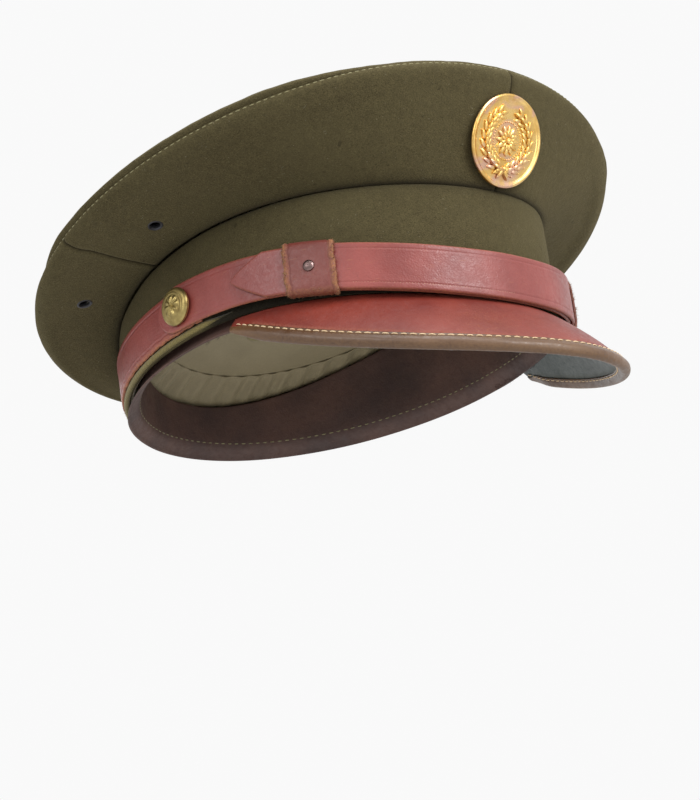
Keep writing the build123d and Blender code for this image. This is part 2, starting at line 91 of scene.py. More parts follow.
def three_heights(heights, angle):
    front, side, back = heights
    turn = np.radians(angle)
    mean = (front + back) / 4 + side / 2
    return mean + (front - back) / 2 * np.cos(turn) + ((front + back) / 4 - side / 2) * np.cos(2 * turn)


def front_share(angle):
    return np.clip(np.cos(np.radians(angle)), 0, 1) ** 2


def smooth(share):
    share = np.clip(share, 0, 1)
    return share * share * (3 - 2 * share)


def bell(distance, width):
    return np.exp(-((distance / width) ** 2))


def fade(distance, width):
    """1 at and below 0, dying away above it."""
    return np.exp(-np.clip(distance, 0, None) / width)


def unit(vectors):
    return vectors / np.linalg.norm(vectors, axis=-1, keepdims=True)


def ripple(points, wavelength, seed):
    """Smooth noise from about -1 to 1, as a sum of waves in several directions."""
    rng = np.random.default_rng(seed)
    total = 0
    for _ in range(7):
        wave = unit(rng.normal(size=3)) * 2 * np.pi / (wavelength * rng.uniform(0.6, 1.6))
        total = total + np.sin(points @ wave + rng.uniform(0, 6.28))
    return total / 3.5


def band_edge(angle):
    return oval(BASE_OVAL, angle, -FRONT_DIP * front_share(angle))


def strap_edge(angle):
    return STRAP_EDGE_SIDE + (STRAP_EDGE_FRONT - STRAP_EDGE_SIDE) * front_share(angle)


def strap_face(angle):
    side, front = STRAP_STANDOFF
    return side + (front - side) * front_share(angle)


def outer_face(angle):
    return strap_face(angle) + STRAP_LAP * smooth((angle + 88) / 18)


def band_top(angle):
    return oval(BAND_TOP_OVAL, angle, three_heights(BAND_TOP_HEIGHTS, angle))


def crown_edge(angle):
    return oval(CROWN_OVAL, angle, three_heights(CROWN_HEIGHTS, angle))


def crown_seat(angle):
    return crown_edge(angle) - np.array([0, 0, 2.2 * WELT_RADIUS])


def crown_height(y):
    reach = (CROWN_OVAL[2] - y) / CROWN_OVAL[0]
    front, side, back = CROWN_HEIGHTS
    return side + (front - back) / 2 * reach + ((front + back) / 2 - side) * reach**2


def sweatband_edge(angle):
    return oval(shrunk(BASE_OVAL, 4.2), angle, -2.5 - 0.7 * FRONT_DIP * front_share(angle))


def sweatband_top(angle):
    return oval(shrunk(BAND_TOP_OVAL, 8.0), angle, three_heights(BAND_TOP_HEIGHTS, angle) - 4)


def lining_edge(angle):
    return oval(shrunk(BAND_TOP_OVAL, 6.0), angle, three_heights(BAND_TOP_HEIGHTS, angle) - 2.5)


LINING_TIP_OVAL = (84.0, 70.0, 1.0)
LINING_TIP_DROP = 6.0


def lining_top_edge(angle):
    point = oval(LINING_TIP_OVAL, angle, 0)
    point[..., 2] = crown_height(point[..., 1]) - LINING_TIP_DROP - 0.5
    return point


class Wall:
    """A straight-ruled wall between two closed curves."""

    def __init__(self, lower, upper):
        self.lower = lower
        self.upper = upper

    def height(self, angle):
        return np.linalg.norm(self.upper(angle) - self.lower(angle), axis=-1)

    def normal(self, angle):
        along = (self.lower(angle + 0.25) + self.upper(angle + 0.25)
                 - self.lower(angle - 0.25) - self.upper(angle - 0.25))
        return unit(np.cross(self.upper(angle) - self.lower(angle), along))

    def point(self, angle, rise, proud=0.0):
        rise = np.asarray(rise)[..., None]
        proud = np.asarray(proud)[..., None]
        return (self.lower(angle) * (1 - rise) + self.upper(angle) * rise
                + self.normal(angle) * proud)

    def up(self, angle, distance, proud=0.0):
        """A point a distance up the wall."""
        return self.point(angle, distance / self.height(angle), proud)

    def level(self, angle, height, proud=0.0):
        """A point at a height above the origin."""
        low = self.lower(angle)[..., 2]
        return self.point(angle, (height - low) / (self.upper(angle)[..., 2] - low), proud)


BAND = Wall(band_edge, band_top)
QUARTER = Wall(band_top, crown_seat)
SWEATBAND = Wall(sweatband_edge, sweatband_top)
LINING_SIDE = Wall(lining_edge, lining_top_edge)


# ---------------------------------------------------------------- meshes

def grid_faces(rows, columns, wrap_rows, wrap_columns):
    i, j = np.meshgrid(np.arange(rows if wrap_rows else rows - 1),
                       np.arange(columns if wrap_columns else columns - 1), indexing="ij")
    next_i, next_j = (i + 1) % rows, (j + 1) % columns
    corners = [i * columns + j, i * columns + next_j, next_i * columns + next_j, next_i * columns + j]
    return np.stack(corners, -1).reshape(-1, 4).tolist()


def tube_faces(rows, columns):
    """Faces of a round skin with both ends closed."""
    ends = [list(range(columns)), list(range((rows - 1) * columns, rows * columns))]
    return grid_faces(rows, columns, False, True) + ends


def polar(radius, turn):
    return radius * np.cos(turn), radius * np.sin(turn)


def piece(name, points, faces, paint, slot, body="root", replaces=(), wear=None, sharp=None):
    """Makes one visual piece from points in millimetres; the vertex attribute of worn places and painted
    shade runs from 0 to 1.
    """
    mesh = bpy.data.meshes.new(name)
    mesh.from_pydata((np.asarray(points).reshape(-1, 3) * MM).tolist(), [], faces)
    if wear is not None:
        layer = mesh.attributes.new("wear", "FLOAT", "POINT")
        layer.data.foreach_set("value", np.asarray(wear, np.float32).ravel())
    work = bmesh.new()
    work.from_mesh(mesh)
    bmesh.ops.recalc_face_normals(work, faces=work.faces)
    work.to_mesh(mesh)
    work.free()
    mesh.shade_smooth()
    if sharp:
        mesh.set_sharp_from_angle(angle=np.radians(sharp))
    mesh.materials.append(paint)
    shown = bpy.data.objects.new(name, mesh)
    bpy.context.scene.collection.objects.link(shown)
    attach(shown, body)
    if replaces:
        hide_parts(*replaces)
    return shown


def sweep(name, rings, paint, slot, closed=False, caps="face", **options):
    """A skin through closed cross-sections; an open sweep is capped at both ends."""
    count, size = rings.shape[:2]
    points = rings.reshape(-1, 3)
    faces = grid_faces(count, size, closed, True)
    if not closed and caps == "face":
        faces += [list(range(size)), list(range((count - 1) * size, count * size))]
    if not closed and caps == "fan":
        last = (count - 1) * size
        points = np.concatenate([points, rings[:1].mean(1), rings[-1:].mean(1)])
        for i in range(size):
            faces += [[i, (i + 1) % size, count * size],
                      [last + i, last + (i + 1) % size, count * size + 1]]
        if options.get("wear") is not None:
            wear = np.asarray(options["wear"])
            options["wear"] = np.concatenate([wear.ravel(), [wear[0].mean(), wear[-1].mean()]])
    return piece(name, points, faces, paint, slot, **options)


def strip(low, high, inner, outer, across=24, round_by=5):
    """Cross-sections of a strip with rounded edges: position across it, depth, and a weight
    that is 1 on its outer face and 0 on its inner one."""
    low, high, inner, outer = [np.atleast_1d(value).astype(float)[:, None]
                               for value in np.broadcast_arrays(low, high, inner, outer)]
    half = (outer - inner) / 2
    edge = np.minimum(half, (high - low) / 2)
    middle = (outer + inner) / 2
    share = np.linspace(0, 1, across + 1)[None]
    turn = np.linspace(0, np.pi, round_by + 2)[1:-1][None]
    run = low + edge + share * (high - low - 2 * edge)
    one = np.ones_like(run)
    position = np.concatenate([run, high - edge + edge * np.sin(turn), run[:, ::-1],
                               low + edge - edge * np.sin(turn)], 1)
    depth = np.concatenate([outer * one, middle + half * np.cos(turn), inner * one,
                            middle - half * np.cos(turn)], 1)
    rounding = (1 + np.cos(turn[0])) / 2
    face = np.concatenate([one[0], rounding, 0 * one[0], rounding[::-1]])
    return position, depth, face


def nearest_edge(position, low, high):
    low, high = np.atleast_1d(low)[:, None], np.atleast_1d(high)[:, None]
    return np.minimum(position - low, high - position)


def turned(frame_at, points):
    """Local points (x, y, z) placed on a plane given as (origin, x, y, z)."""
    origin, x, y, z = frame_at
    points = np.asarray(points, float)
    return origin + points[..., :1] * x + points[..., 1:2] * y + points[..., 2:3] * z


def revolved(name, frame_at, profile, paint, slot, segments=64, relief=None, **options):
    """A round piece from a closed (radius, height) profile; relief changes height with angle."""
    profile = np.asarray(profile, float)
    turn = np.linspace(0, 2 * np.pi, segments, endpoint=False)
    radius, height = profile[:, 0][None], profile[:, 1][None] + 0 * turn[:, None]
    if relief:
        height = height + relief(radius, turn[:, None])
    local = np.stack([radius * np.cos(turn[:, None]), radius * np.sin(turn[:, None]), height], -1)
    return sweep(name, turned(frame_at, local), paint, slot, closed=True, **options)


def seed_piece(frame_at, length, width, height, rib=0.0, sections=11, around=14):
    """Points and faces of a leaf or petal shape, with an optional groove down its middle."""
    along = np.cos(np.linspace(np.pi, 0, sections))[:, None] * 0.995
    turn = np.linspace(0, 2 * np.pi, around, endpoint=False)[None]
    outline = width / 2 * (1 - along**2) ** 0.6 * (1 - 0.25 * along)
    side = outline * np.cos(turn)
    top = np.clip(np.sin(turn), 0, 1) ** 0.8
    groove = 1 - rib * np.exp(-((np.cos(turn) / 0.22) ** 2))
    rise = height * (1 - along**4) * top * groove - 0.25 * np.clip(-np.sin(turn), 0, 1)
    local = np.stack([along * length / 2 + 0 * turn, side, rise], -1)
    return turned(frame_at, local).reshape(-1, 3), tube_faces(sections, around)


def merged(parts):
    points, faces, start = [], [], 0
    for some_points, some_faces in parts:
        points.append(some_points)
        faces += [[corner + start for corner in face] for face in some_faces]
        start += len(some_points)
    return np.concatenate(points), faces


def repeated(faces, count, step):
    """The same faces again for each of a number of equal sets of points."""
    return [[corner + step * number for corner in face] for number in range(count) for face in faces]


def stitches(path, normals, length, pitch, width, height, sink=0.12):
    """Points and faces of a row of stitches along a path on a surface."""
    steps = np.linalg.norm(np.diff(path, axis=0), axis=1)
    along = np.concatenate([[0], np.cumsum(steps)])
    centres = np.arange(pitch / 2, along[-1] - pitch / 2, pitch)
    at = [np.stack([np.interp(centres + shift, along, values[:, k]) for k in range(3)], -1)
          for values, shift in ((path, 0), (path, 0.5), (normals, 0))]
    tangent, normal = unit(at[1] - at[0]), unit(at[2])
    across = unit(np.cross(normal, tangent))
    share = np.array([-1, -0.86, -0.45, 0, 0.45, 0.86, 1.0])
    turn = np.linspace(0, 2 * np.pi, 6, endpoint=False)
    swell = np.sqrt(np.clip(1.04 - share**4, 0.02, 1))[:, None]
    x = (share[:, None] * length / 2 + 0 * turn)
    y = width / 2 * swell * np.cos(turn)
    z = height / 2 * swell * np.sin(turn) + (height * 0.5 * (1 - share**2))[:, None] - sink
    x = x * RNG.uniform(0.9, 1.06, (len(centres), 1, 1))
    points = (at[0][:, None, None] + tangent[:, None, None] * x[..., None]
              + across[:, None, None] * y[None, ..., None]
              + normal[:, None, None] * z[None, ..., None])
    return points.reshape(-1, 3), repeated(tube_faces(len(share), len(turn)), len(centres),
                                           len(share) * len(turn))


def fibres(roots, directions, length, radius, curl=0.5):
    """Thin tapered fibres that grow from the roots."""
    count = len(roots)
    share = np.array([0, 0.35, 0.7, 1.0])
    size = length * RNG.uniform(0.4, 1.2, (count, 1))
    bend = unit(RNG.normal(size=(count, 3))) * curl
    spine = (roots[:, None] + directions[:, None] * (share * size)[..., None]
             + bend[:, None] * (share**2 * size)[..., None])
    side = unit(np.cross(directions, bend + 1e-3))
    other = unit(np.cross(directions, side))
    turn = np.radians([0, 120, 240])
    ring = (side[:, None, None] * np.cos(turn)[None, None, :, None]
            + other[:, None, None] * np.sin(turn)[None, None, :, None])
    points = spine[:, :, None] + ring * (radius * (1 - 0.75 * share))[None, :, None, None]
    return points.reshape(-1, 3), repeated(tube_faces(4, 3), count, 12)


# ---------------------------------------------------------------- materials

class Paint:
    """A Principled material with a few procedural helpers; positions are in metres."""

    def __init__(self, name, roughness, metallic=0.0, **sockets):
        self.material = bpy.data.materials.new(name)
        self.material.use_nodes = True
        self.nodes = self.material.node_tree.nodes
        self.shader = self.nodes["Principled BSDF"]
        self.place = self.nodes.new("ShaderNodeTexCoord").outputs["Object"]
        self.shader.inputs["Roughness"].default_value = roughness
        self.shader.inputs["Metallic"].default_value = metallic
        for label, value in sockets.items():
            self.shader.inputs[label.replace("_", " ")].default_value = value

    def link(self, out, into):
        self.material.node_tree.links.new(out, into)

    def noise(self, wavelength_mm, detail=2.0, stretch=None, distortion=0.0):
        node = self.nodes.new("ShaderNodeTexNoise")
        node.inputs["Scale"].default_value = 1000.0 / wavelength_mm
        node.inputs["Detail"].default_value = detail
        node.inputs["Distortion"].default_value = distortion
        place = self.place
        if stretch:
            mapping = self.nodes.new("ShaderNodeMapping")
            mapping.inputs["Scale"].default_value = stretch
            mapping.inputs["Rotation"].default_value = (0.3, 0.5, 0.7)
            self.link(place, mapping.inputs["Vector"])
            place = mapping.outputs["Vector"]
        self.link(place, node.inputs["Vector"])
        return node.outputs["Fac"]

    def cells(self, wavelength_mm, feature="F1"):
        node = self.nodes.new("ShaderNodeTexVoronoi")
        node.feature = feature
        node.inputs["Scale"].default_value = 1000.0 / wavelength_mm
        self.link(self.place, node.inputs["Vector"])
        return node.outputs["Distance"]

    # The vertex attribute holds real wear on the leather, and painted shade on the wool.
    def wear(self):
        node = self.nodes.new("ShaderNodeAttribute")
        node.attribute_name = "wear"
        return node.outputs["Fac"]

    def spread(self, value, low, high, to_low=0.0, to_high=1.0):
        node = self.nodes.new("ShaderNodeMapRange")
        for label, number in (("From Min", low), ("From Max", high),
                              ("To Min", to_low), ("To Max", to_high)):
            node.inputs[label].default_value = number
        self.link(value, node.inputs["Value"])
        return node.outputs["Result"]

    def math(self, kind, first, second):
        node = self.nodes.new("ShaderNodeMath")
        node.operation = kind
        for socket, value in zip(node.inputs, (first, second)):
            if isinstance(value, (int, float)):
                socket.default_value = value
            else:
                self.link(value, socket)
        return node.outputs["Value"]

    def mix(self, amount, first, second):
        node = self.nodes.new("ShaderNodeMix")
        node.data_type = "RGBA"
        self.link(amount, node.inputs["Factor"])
        for label, value in ((6, first), (7, second)):
            if isinstance(value, tuple):
                node.inputs[label].default_value = (*value, 1.0)
            else:
                self.link(value, node.inputs[label])
        return node.outputs[2]

    def colour(self, value):
        if isinstance(value, tuple):
            self.shader.inputs["Base Color"].default_value = (*value, 1.0)
        else:
            self.link(value, self.shader.inputs["Base Color"])

    def rough(self, value):
        self.link(value, self.shader.inputs["Roughness"])

    def bumps(self, *layers):
        """Layers of (height value, depth in millimetres)."""
        normal = None
        for value, depth in layers:
            node = self.nodes.new("ShaderNodeBump")
            node.inputs["Distance"].default_value = depth * MM
            node.inputs["Strength"].default_value = 1.0
            self.link(value, node.inputs["Height"])
            if normal:
                self.link(normal, node.inputs["Normal"])
            normal = node.outputs["Normal"]
        self.link(normal, self.shader.inputs["Normal"])


def wool_paint():
    paint = Paint("wool_melton", 0.95, Specular_IOR_Level=0.12, Sheen_Weight=0.22,
                  Sheen_Roughness=0.5, Sheen_Tint=(0.50, 0.42, 0.22, 1))
    fibre = paint.noise(0.55, 3.0, (1.0, 1.0, 2.2), 0.6)
    flock = paint.noise(3.2, 4.0)
    patch = paint.noise(38.0, 3.0)
    base = paint.mix(paint.spread(fibre, 0.28, 0.74), (0.026, 0.021, 0.009), (0.105, 0.086, 0.040))
    base = paint.mix(paint.spread(flock, 0.42, 0.68, 0.0, 0.32), base, (0.036, 0.029, 0.014))
    base = paint.mix(paint.spread(patch, 0.40, 0.70, 0.0, 0.35), base, (0.076, 0.064, 0.030))
    base = paint.mix(paint.spread(paint.noise(0.8, 0.0), 0.80, 0.86, 0.0, 0.45), base, (0.20, 0.18, 0.12))
    speck = paint.spread(paint.noise(4.0, 1.0), 0.755, 0.785, 0.0, 0.5)
    base = paint.mix(speck, base, (0.014, 0.011, 0.006))
    # Painted shade: where the vertex attribute is high the wool turns near black, in its seams and joins
    # and under the strap's front edge.
    base = paint.mix(paint.spread(paint.wear(), 0.0, 1.2, 0.0, 0.96), base, (0.006, 0.005, 0.004))
    paint.colour(base)
    paint.bumps((flock, 0.28), (fibre, 0.30), (paint.noise(0.22, 2.0), 0.08))
    return paint.material


def leather_paint(name, deep, bright, worn, roughness=0.42, grain=0.07, coat=0.25):
    paint = Paint(name, roughness, Specular_IOR_Level=0.5, Coat_Weight=coat, Coat_Roughness=0.32)
    cloud = paint.noise(24.0, 4.0)
    fleck = paint.noise(2.2, 5.0, None, 0.8)
    base = paint.mix(paint.spread(cloud, 0.32, 0.68), deep, bright)
    base = paint.mix(paint.spread(fleck, 0.55, 0.75, 0.0, 0.35), base, deep)
    scuff = paint.spread(paint.noise(1.3, 3.0, (0.25, 0.25, 3.0)), 0.66, 0.74, 0.0, 0.35)
    base = paint.mix(scuff, base, worn)
    ragged = paint.math("MULTIPLY", paint.wear(), paint.spread(paint.noise(0.9, 4.0), 0.30, 0.62))
    base = paint.mix(ragged, base, worn)
    paint.colour(base)
    rough = paint.math("ADD", fleck, ragged)
    paint.rough(paint.spread(rough, 0.3, 1.2, roughness - 0.08, roughness + 0.4))
    paint.bumps((paint.cells(0.75), grain), (fleck, 0.10), (paint.noise(7.0, 2.0), 0.25))
    return paint.material


def cloth_paint(name, dark, light, roughness=0.8, rib=0.5, sheen=0.2):
    paint = Paint(name, roughness, Specular_IOR_Level=0.3, Sheen_Weight=sheen, Sheen_Roughness=0.5)
    thread = paint.noise(rib, 2.0, (1.0, 1.0, 3.0))
    stain = paint.noise(20.0, 4.0)
    base = paint.mix(paint.spread(thread, 0.30, 0.70), dark, light)
    base = paint.mix(paint.spread(stain, 0.50, 0.75, 0.0, 0.45), base, dark)
    base = paint.mix(paint.spread(paint.wear(), 0.0, 1.0, 0.0, 0.9), base, tuple(0.12 * c for c in dark))
    paint.colour(base)
    paint.bumps((thread, 0.16), (paint.noise(0.25, 1.0), 0.05))
    return paint.material


def metal_paint(name, bright, dull, roughness=0.3, patina=None, scratch=0.02):
    paint = Paint(name, roughness, 1.0)
    cloud = paint.noise(5.0, 5.0, None, 0.5)
    base = paint.mix(paint.spread(cloud, 0.38, 0.66), bright, dull)
    if patina:
        tarnish = paint.spread(paint.noise(11.0, 2.0, None, 1.0), 0.52, 0.66, 0.0, 0.65)
        base = paint.mix(tarnish, base, patina)
    base = paint.mix(paint.spread(paint.wear(), 0.0, 1.0, 0.0, 0.85), base, tuple(0.16 * c for c in dull))
    paint.colour(base)
    paint.rough(paint.spread(cloud, 0.30, 0.75, roughness - 0.07, roughness + 0.18))
    paint.bumps((paint.noise(0.35, 3.0, (0.3, 1.0, 3.0)), scratch))
    return paint.material


WOOL = wool_paint()
STRAP = leather_paint("strap_russet", (0.165, 0.026, 0.021), (0.250, 0.050, 0.041), (0.38, 0.15, 0.06),
                      coat=0.14)
KEEPER = leather_paint("keeper_russet", (0.110, 0.020, 0.014), (0.170, 0.036, 0.026), (0.30, 0.135, 0.055),
                       0.5, 0.09, 0.05)
VISOR = leather_paint("visor_russet", (0.132, 0.016, 0.010), (0.196, 0.030, 0.018), (0.28, 0.09, 0.045),
                      0.46, 0.04, 0.06)
BINDING = leather_paint("binding_brown", (0.068, 0.030, 0.012), (0.118, 0.058, 0.025),
                        (0.17, 0.095, 0.042), 0.34, 0.03, 0.10)
UNDERSIDE = leather_paint("visor_lining", (0.040, 0.050, 0.046), (0.075, 0.088, 0.082),
                          (0.12, 0.12, 0.10), 0.5, 0.10, 0.1)
SWEAT = leather_paint("sweatband_brown", (0.040, 0.019, 0.015), (0.085, 0.040, 0.028),
                      (0.14, 0.08, 0.055), 0.62, 0.06, 0.0)
FRAY = cloth_paint("frayed_edge", (0.16, 0.065, 0.025), (0.36, 0.19, 0.075), 0.9)
PIPING = cloth_paint("piping_tape", (0.100, 0.078, 0.020), (0.230, 0.185, 0.058), 0.85, 0.7)
LINING = cloth_paint("lining_satin", (0.150, 0.120, 0.062), (0.290, 0.240, 0.140), 0.45, 0.35, 0.1)
BUCKRAM = cloth_paint("buckram", (0.34, 0.30, 0.20), (0.56, 0.51, 0.38), 0.9, 0.9)
BOARD = cloth_paint("fibreboard", (0.16, 0.11, 0.065), (0.27, 0.19, 0.12), 0.9, 1.2)
THREAD = cloth_paint("thread_cream", (0.48, 0.33, 0.18), (0.80, 0.60, 0.38), 0.7, 0.3)
THREAD_OLIVE = cloth_paint("thread_olive", (0.130, 0.115, 0.050), (0.300, 0.270, 0.140), 0.75, 0.3)
LINT = cloth_paint("lint", (0.16, 0.145, 0.09), (0.32, 0.30, 0.21), 0.9, 0.3)
GILT = metal_paint("gilt_brass", (0.900, 0.610, 0.220), (0.640, 0.390, 0.110), 0.25, (0.66, 0.40, 0.38))
AGED = metal_paint("aged_brass", (0.420, 0.330, 0.130), (0.210, 0.150, 0.055), 0.38)
BRASS = metal_paint("plain_brass", (0.700, 0.520, 0.220), (0.520, 0.360, 0.140), 0.3)
STEEL = metal_paint("spring_steel", (0.560, 0.560, 0.570), (0.380, 0.380, 0.400), 0.3)
RIVET = metal_paint("dark_rivet", (0.240, 0.160, 0.150), (0.110, 0.075, 0.070), 0.3)
ENAMEL = metal_paint("eyelet_enamel", (0.035, 0.035, 0.040), (0.012, 0.012, 0.013), 0.4)
ENAMEL.node_tree.nodes["Principled BSDF"].inputs["Metallic"].default_value = 0.3


def film_paint():
    paint = Paint("clear_film", 0.12, IOR=1.49, Transmission_Weight=0.75)
    yellowing = paint.spread(paint.noise(18.0, 3.0), 0.3, 0.7)
    paint.colour(paint.mix(yellowing, (0.78, 0.70, 0.48), (0.88, 0.82, 0.64)))
    paint.bumps((paint.noise(12.0, 2.0), 0.3))
    return paint.material


FILM = film_paint()


# ---------------------------------------------------------------- crown

def seam_steps(start, end, pitch=1.6):
    """Angles from start to end, closer together by both seams."""
    near = np.array([0.0, 0.12, 0.3, 0.55, 0.9, 1.4, 2.1, 3.0, 4.2])
    middle = np.linspace(start + 5.5, end - 5.5, int((end - start) / pitch))
    return np.concatenate([start + near, middle, (end - near)[::-1]])


def rim_roll(angle):
    """How far the cloth rolls over the crown's edge; the welt shows least at the front and back."""
    away = np.abs((np.asarray(angle) + 180) % 360 - 180)
    seen = smooth((away - 24) / 26) * (1 - smooth((away - 98) / 16))
    return RIM_ROLL * (1 - seen)


def edge_at(angle, inset, lift):
    """A point by the crown's edge, a distance in from it and above it; both may vary."""
    point = crown_edge(angle)
    outward = unit(point * np.array([1, 1, 0]))
    rise = np.array([0, 0, 1.0]) * np.asarray(lift)[..., None]
    return point - outward * np.asarray(inset)[..., None] + rise


def quarter_place(angle, distance, proud):
    """The quarter follows its wall, then rolls over the crown's edge up to the welt."""
    height = QUARTER.height(angle)
    turn_at = height - RIM_TURN_LENGTH
    share = np.clip((distance - turn_at) / (RIM_TURN_LENGTH + 0.6), 0, 1)[..., None]
    roll = rim_roll(angle)
    start = QUARTER.up(angle, np.minimum(distance, turn_at))
    corner = edge_at(angle, -0.5 * roll, -3.0 + 0.6 * roll)
    end = edge_at(angle, 1.9 + roll, -0.9 + 0.7 * roll)
    point = (1 - share) ** 2 * start + 2 * share * (1 - share) * corner + share**2 * end
    onward = (1 - share) * (corner - start) + share * (end - corner)
    along = crown_edge(angle + 0.25) - crown_edge(angle - 0.25)
    normal = unit(np.cross(onward, along))
    return point + normal * np.asarray(proud)[..., None]


def quarter_bulge(angle, distance):
    """Fullness of the cloth: rounded between the seams, slack towards the back."""
    height = QUARTER.height(angle)
    share = np.clip(distance / height, 0, 1)
    fullness = 0.5 + 1.3 * smooth((np.abs(angle) - 14) / 40)
    points = QUARTER.up(angle, distance)
    slack = 0.35 * ripple(points, 46, 3) * smooth((np.abs(angle) - 20) / 20)
    by_badge = bell(angle, 11)
    rounded = 1.3 * smooth((np.abs(angle) - 25) / 45) * bell(share - 0.84, 0.11)
    return ((fullness * (1 - by_badge)) * 4 * share * (1 - share) * 0.55 + rounded
            + slack * np.sin(np.pi * share))


def bulge_at(angle, rise):
    """The cloth's fullness at one place, given by angle and share of the quarter's height."""
    angle = np.float64(angle)
    return float(quarter_bulge(angle, rise * QUARTER.height(angle)))


def make_quarter(name, start, end):
    angle = seam_steps(start, end)
    column = angle[:, None]
    height = QUARTER.height(angle)
    low, high = -0.9 + 0 * angle, height + 0.6
    position, depth, face = strip(low, high, -CLOTH, 0.0, 64, 4)
    away = np.minimum(angle - start, end - angle)[:, None] * 2.0
    seam = -0.65 * np.exp(-away / 0.6) + 0.18 * bell(away - 2.2, 1.3)
    from_stitch = (height[:, None] - CROWN_STITCH_DROP - position) / 0.8
    row = -0.22 * np.exp(-(from_stitch**2)) + 0.18 * bell(from_stitch - 2.1, 1.2)
    tuck = -1.1 * fade(position + 0.9, 1.1)
    depth = depth + quarter_bulge(column, position) + (seam + row) * face + tuck
    # Painted shade: near black along the lower edge, where the quarter tucks into the join with the band,
    # and within a millimetre of the side seams.
    wear = np.clip(1.1 * fade(position, 1.6) + 0.9 * np.exp(-away / 0.45), 0, 1)
    rings = quarter_place(column, position, depth)
    return sweep(name, rings, WOOL, "wool", replaces=(name,), wear=wear)


QUARTERS = {"quarter_front_right": (0.0, SIDE_SEAM), "quarter_front_left": (-SIDE_SEAM, 0.0),
            "quarter_rear_right": (SIDE_SEAM, 180.0), "quarter_rear_left": (-180.0, -SIDE_SEAM)}
shown = {name: make_quarter(name, *span) for name, span in QUARTERS.items()}

ROUND = np.linspace(0, 360, 300, endpoint=False)
CLOSED = np.linspace(0, 360, 1441)


def crown_surface(share, angle):
    """The top cloth: stretched over the hoop, a little slack in the middle."""
    rim_point = edge_at(angle, 2.4 + rim_roll(angle), 0 * angle)
    centre = np.array([0, CROWN_OVAL[2], 0])
    point = centre + (rim_point - centre) * share[..., None]
    height = crown_height(point[..., 1]) + 2.1 + 1.9 * (1 - share**2)
    slack = 0.45 * ripple(point * np.array([1, 1, 0]), 60, 11) * (1 - share**4)
    point[..., 2] = height + slack - 1.5 * smooth((share - 0.965) / 0.04)
    return point


def make_crown_top():
    share = np.concatenate([np.linspace(0.02, 0.93, 34), np.linspace(0.94, 1.0, 9)])
    upper = [crown_surface(np.full_like(ROUND, value), ROUND) for value in share]
    lower = [points - np.array([0, 0, CLOTH]) for points in upper[:-2]][::-1]
    rings = np.array(upper + lower)
    # Painted shade: the top cloth darkens over its last few millimetres, in the join with the welt.
    wear = np.array([np.full(len(ROUND), 0.9 * smooth((value - 0.975) / 0.025))
                     for value in list(share) + list(share[:-2])[::-1]])
    return sweep("crown_top", rings, WOOL, "wool", caps="fan", replaces=("crown_top",), wear=wear)


def make_welt():
    angle = np.linspace(0, 360, 480, endpoint=False)
    path = edge_at(angle, WELT_RADIUS + rim_roll(angle), -0.25 * rim_roll(angle))
    along = unit(crown_edge(angle + 0.2) - crown_edge(angle - 0.2))
    side = unit(np.cross(along, [0, 0, 1]))
    up = np.cross(side, along)
    turn = np.linspace(0, 2 * np.pi, 20, endpoint=False)
    radius = WELT_RADIUS * (1 + 0.05 * ripple(path, 9, 5))[:, None] * (1 + 0.07 * np.cos(4 * turn))
    rings = (path[:, None] + side[:, None] * (radius * np.cos(turn))[..., None]
             + up[:, None] * (radius * np.sin(turn))[..., None])
    return sweep("crown_welt", rings, WOOL, "wool", closed=True, replaces=("crown_welt",))


shown["crown_top"] = make_crown_top()
make_welt()



def crown_topstitch():
    """The stitch row that runs round the crown just below its edge."""
    row = QUARTER.height(CLOSED) - CROWN_STITCH_DROP
    proud = quarter_bulge(np.where(CLOSED > 180, CLOSED - 360, CLOSED), row) - 0.26
    path = quarter_place(CLOSED, row, proud)
    above = quarter_place(CLOSED, row + 0.5, proud)
    normal = unit(np.cross(above - path, np.roll(path, -1, 0) - path))
    normal[-1] = normal[0]
    normal = normal * np.sign((normal * QUARTER.normal(CLOSED)).sum(-1, keepdims=True))
    return stitches(path, normal, 2.1, 2.9, 0.5, 0.42)


piece("crown_topstitch", *crown_topstitch(), THREAD_OLIVE, "wool")


def bore(target, frame_at, radius):
    """Cuts a round hole through a piece, along the frame's Z."""
    sides, reach = 32, 6.0
    turn = np.linspace(0, 2 * np.pi, sides, endpoint=False)
    rings = [np.stack([*polar(radius, turn), level + 0 * turn], -1) for level in (-reach, reach)]
    points = turned(frame_at, np.array(rings)).reshape(-1, 3) * MM
    mesh = bpy.data.meshes.new("drill")
    mesh.from_pydata(points.tolist(), [], tube_faces(2, sides))
    work = bmesh.new()
    work.from_mesh(mesh)
    bmesh.ops.recalc_face_normals(work, faces=work.faces)
    work.to_mesh(mesh)
    work.free()
    drill = bpy.data.objects.new("drill", mesh)
    bpy.context.scene.collection.objects.link(drill)
    cut = target.modifiers.new("bore", "BOOLEAN")
    cut.operation, cut.solver, cut.object = "DIFFERENCE", "EXACT", drill
    bpy.context.view_layer.update()
    seen = target.evaluated_get(bpy.context.evaluated_depsgraph_get())
    target.data = bpy.data.meshes.new_from_object(seen)
    target.modifiers.remove(cut)
    bpy.data.objects.remove(drill)


def plane_on(wall, angle, rise, proud=0.0):
    angle = np.float64(angle)
    up = unit(wall.upper(angle) - wall.lower(angle))
    normal = wall.normal(angle)
    return wall.point(angle, rise, proud), np.cross(up, normal), up, normal


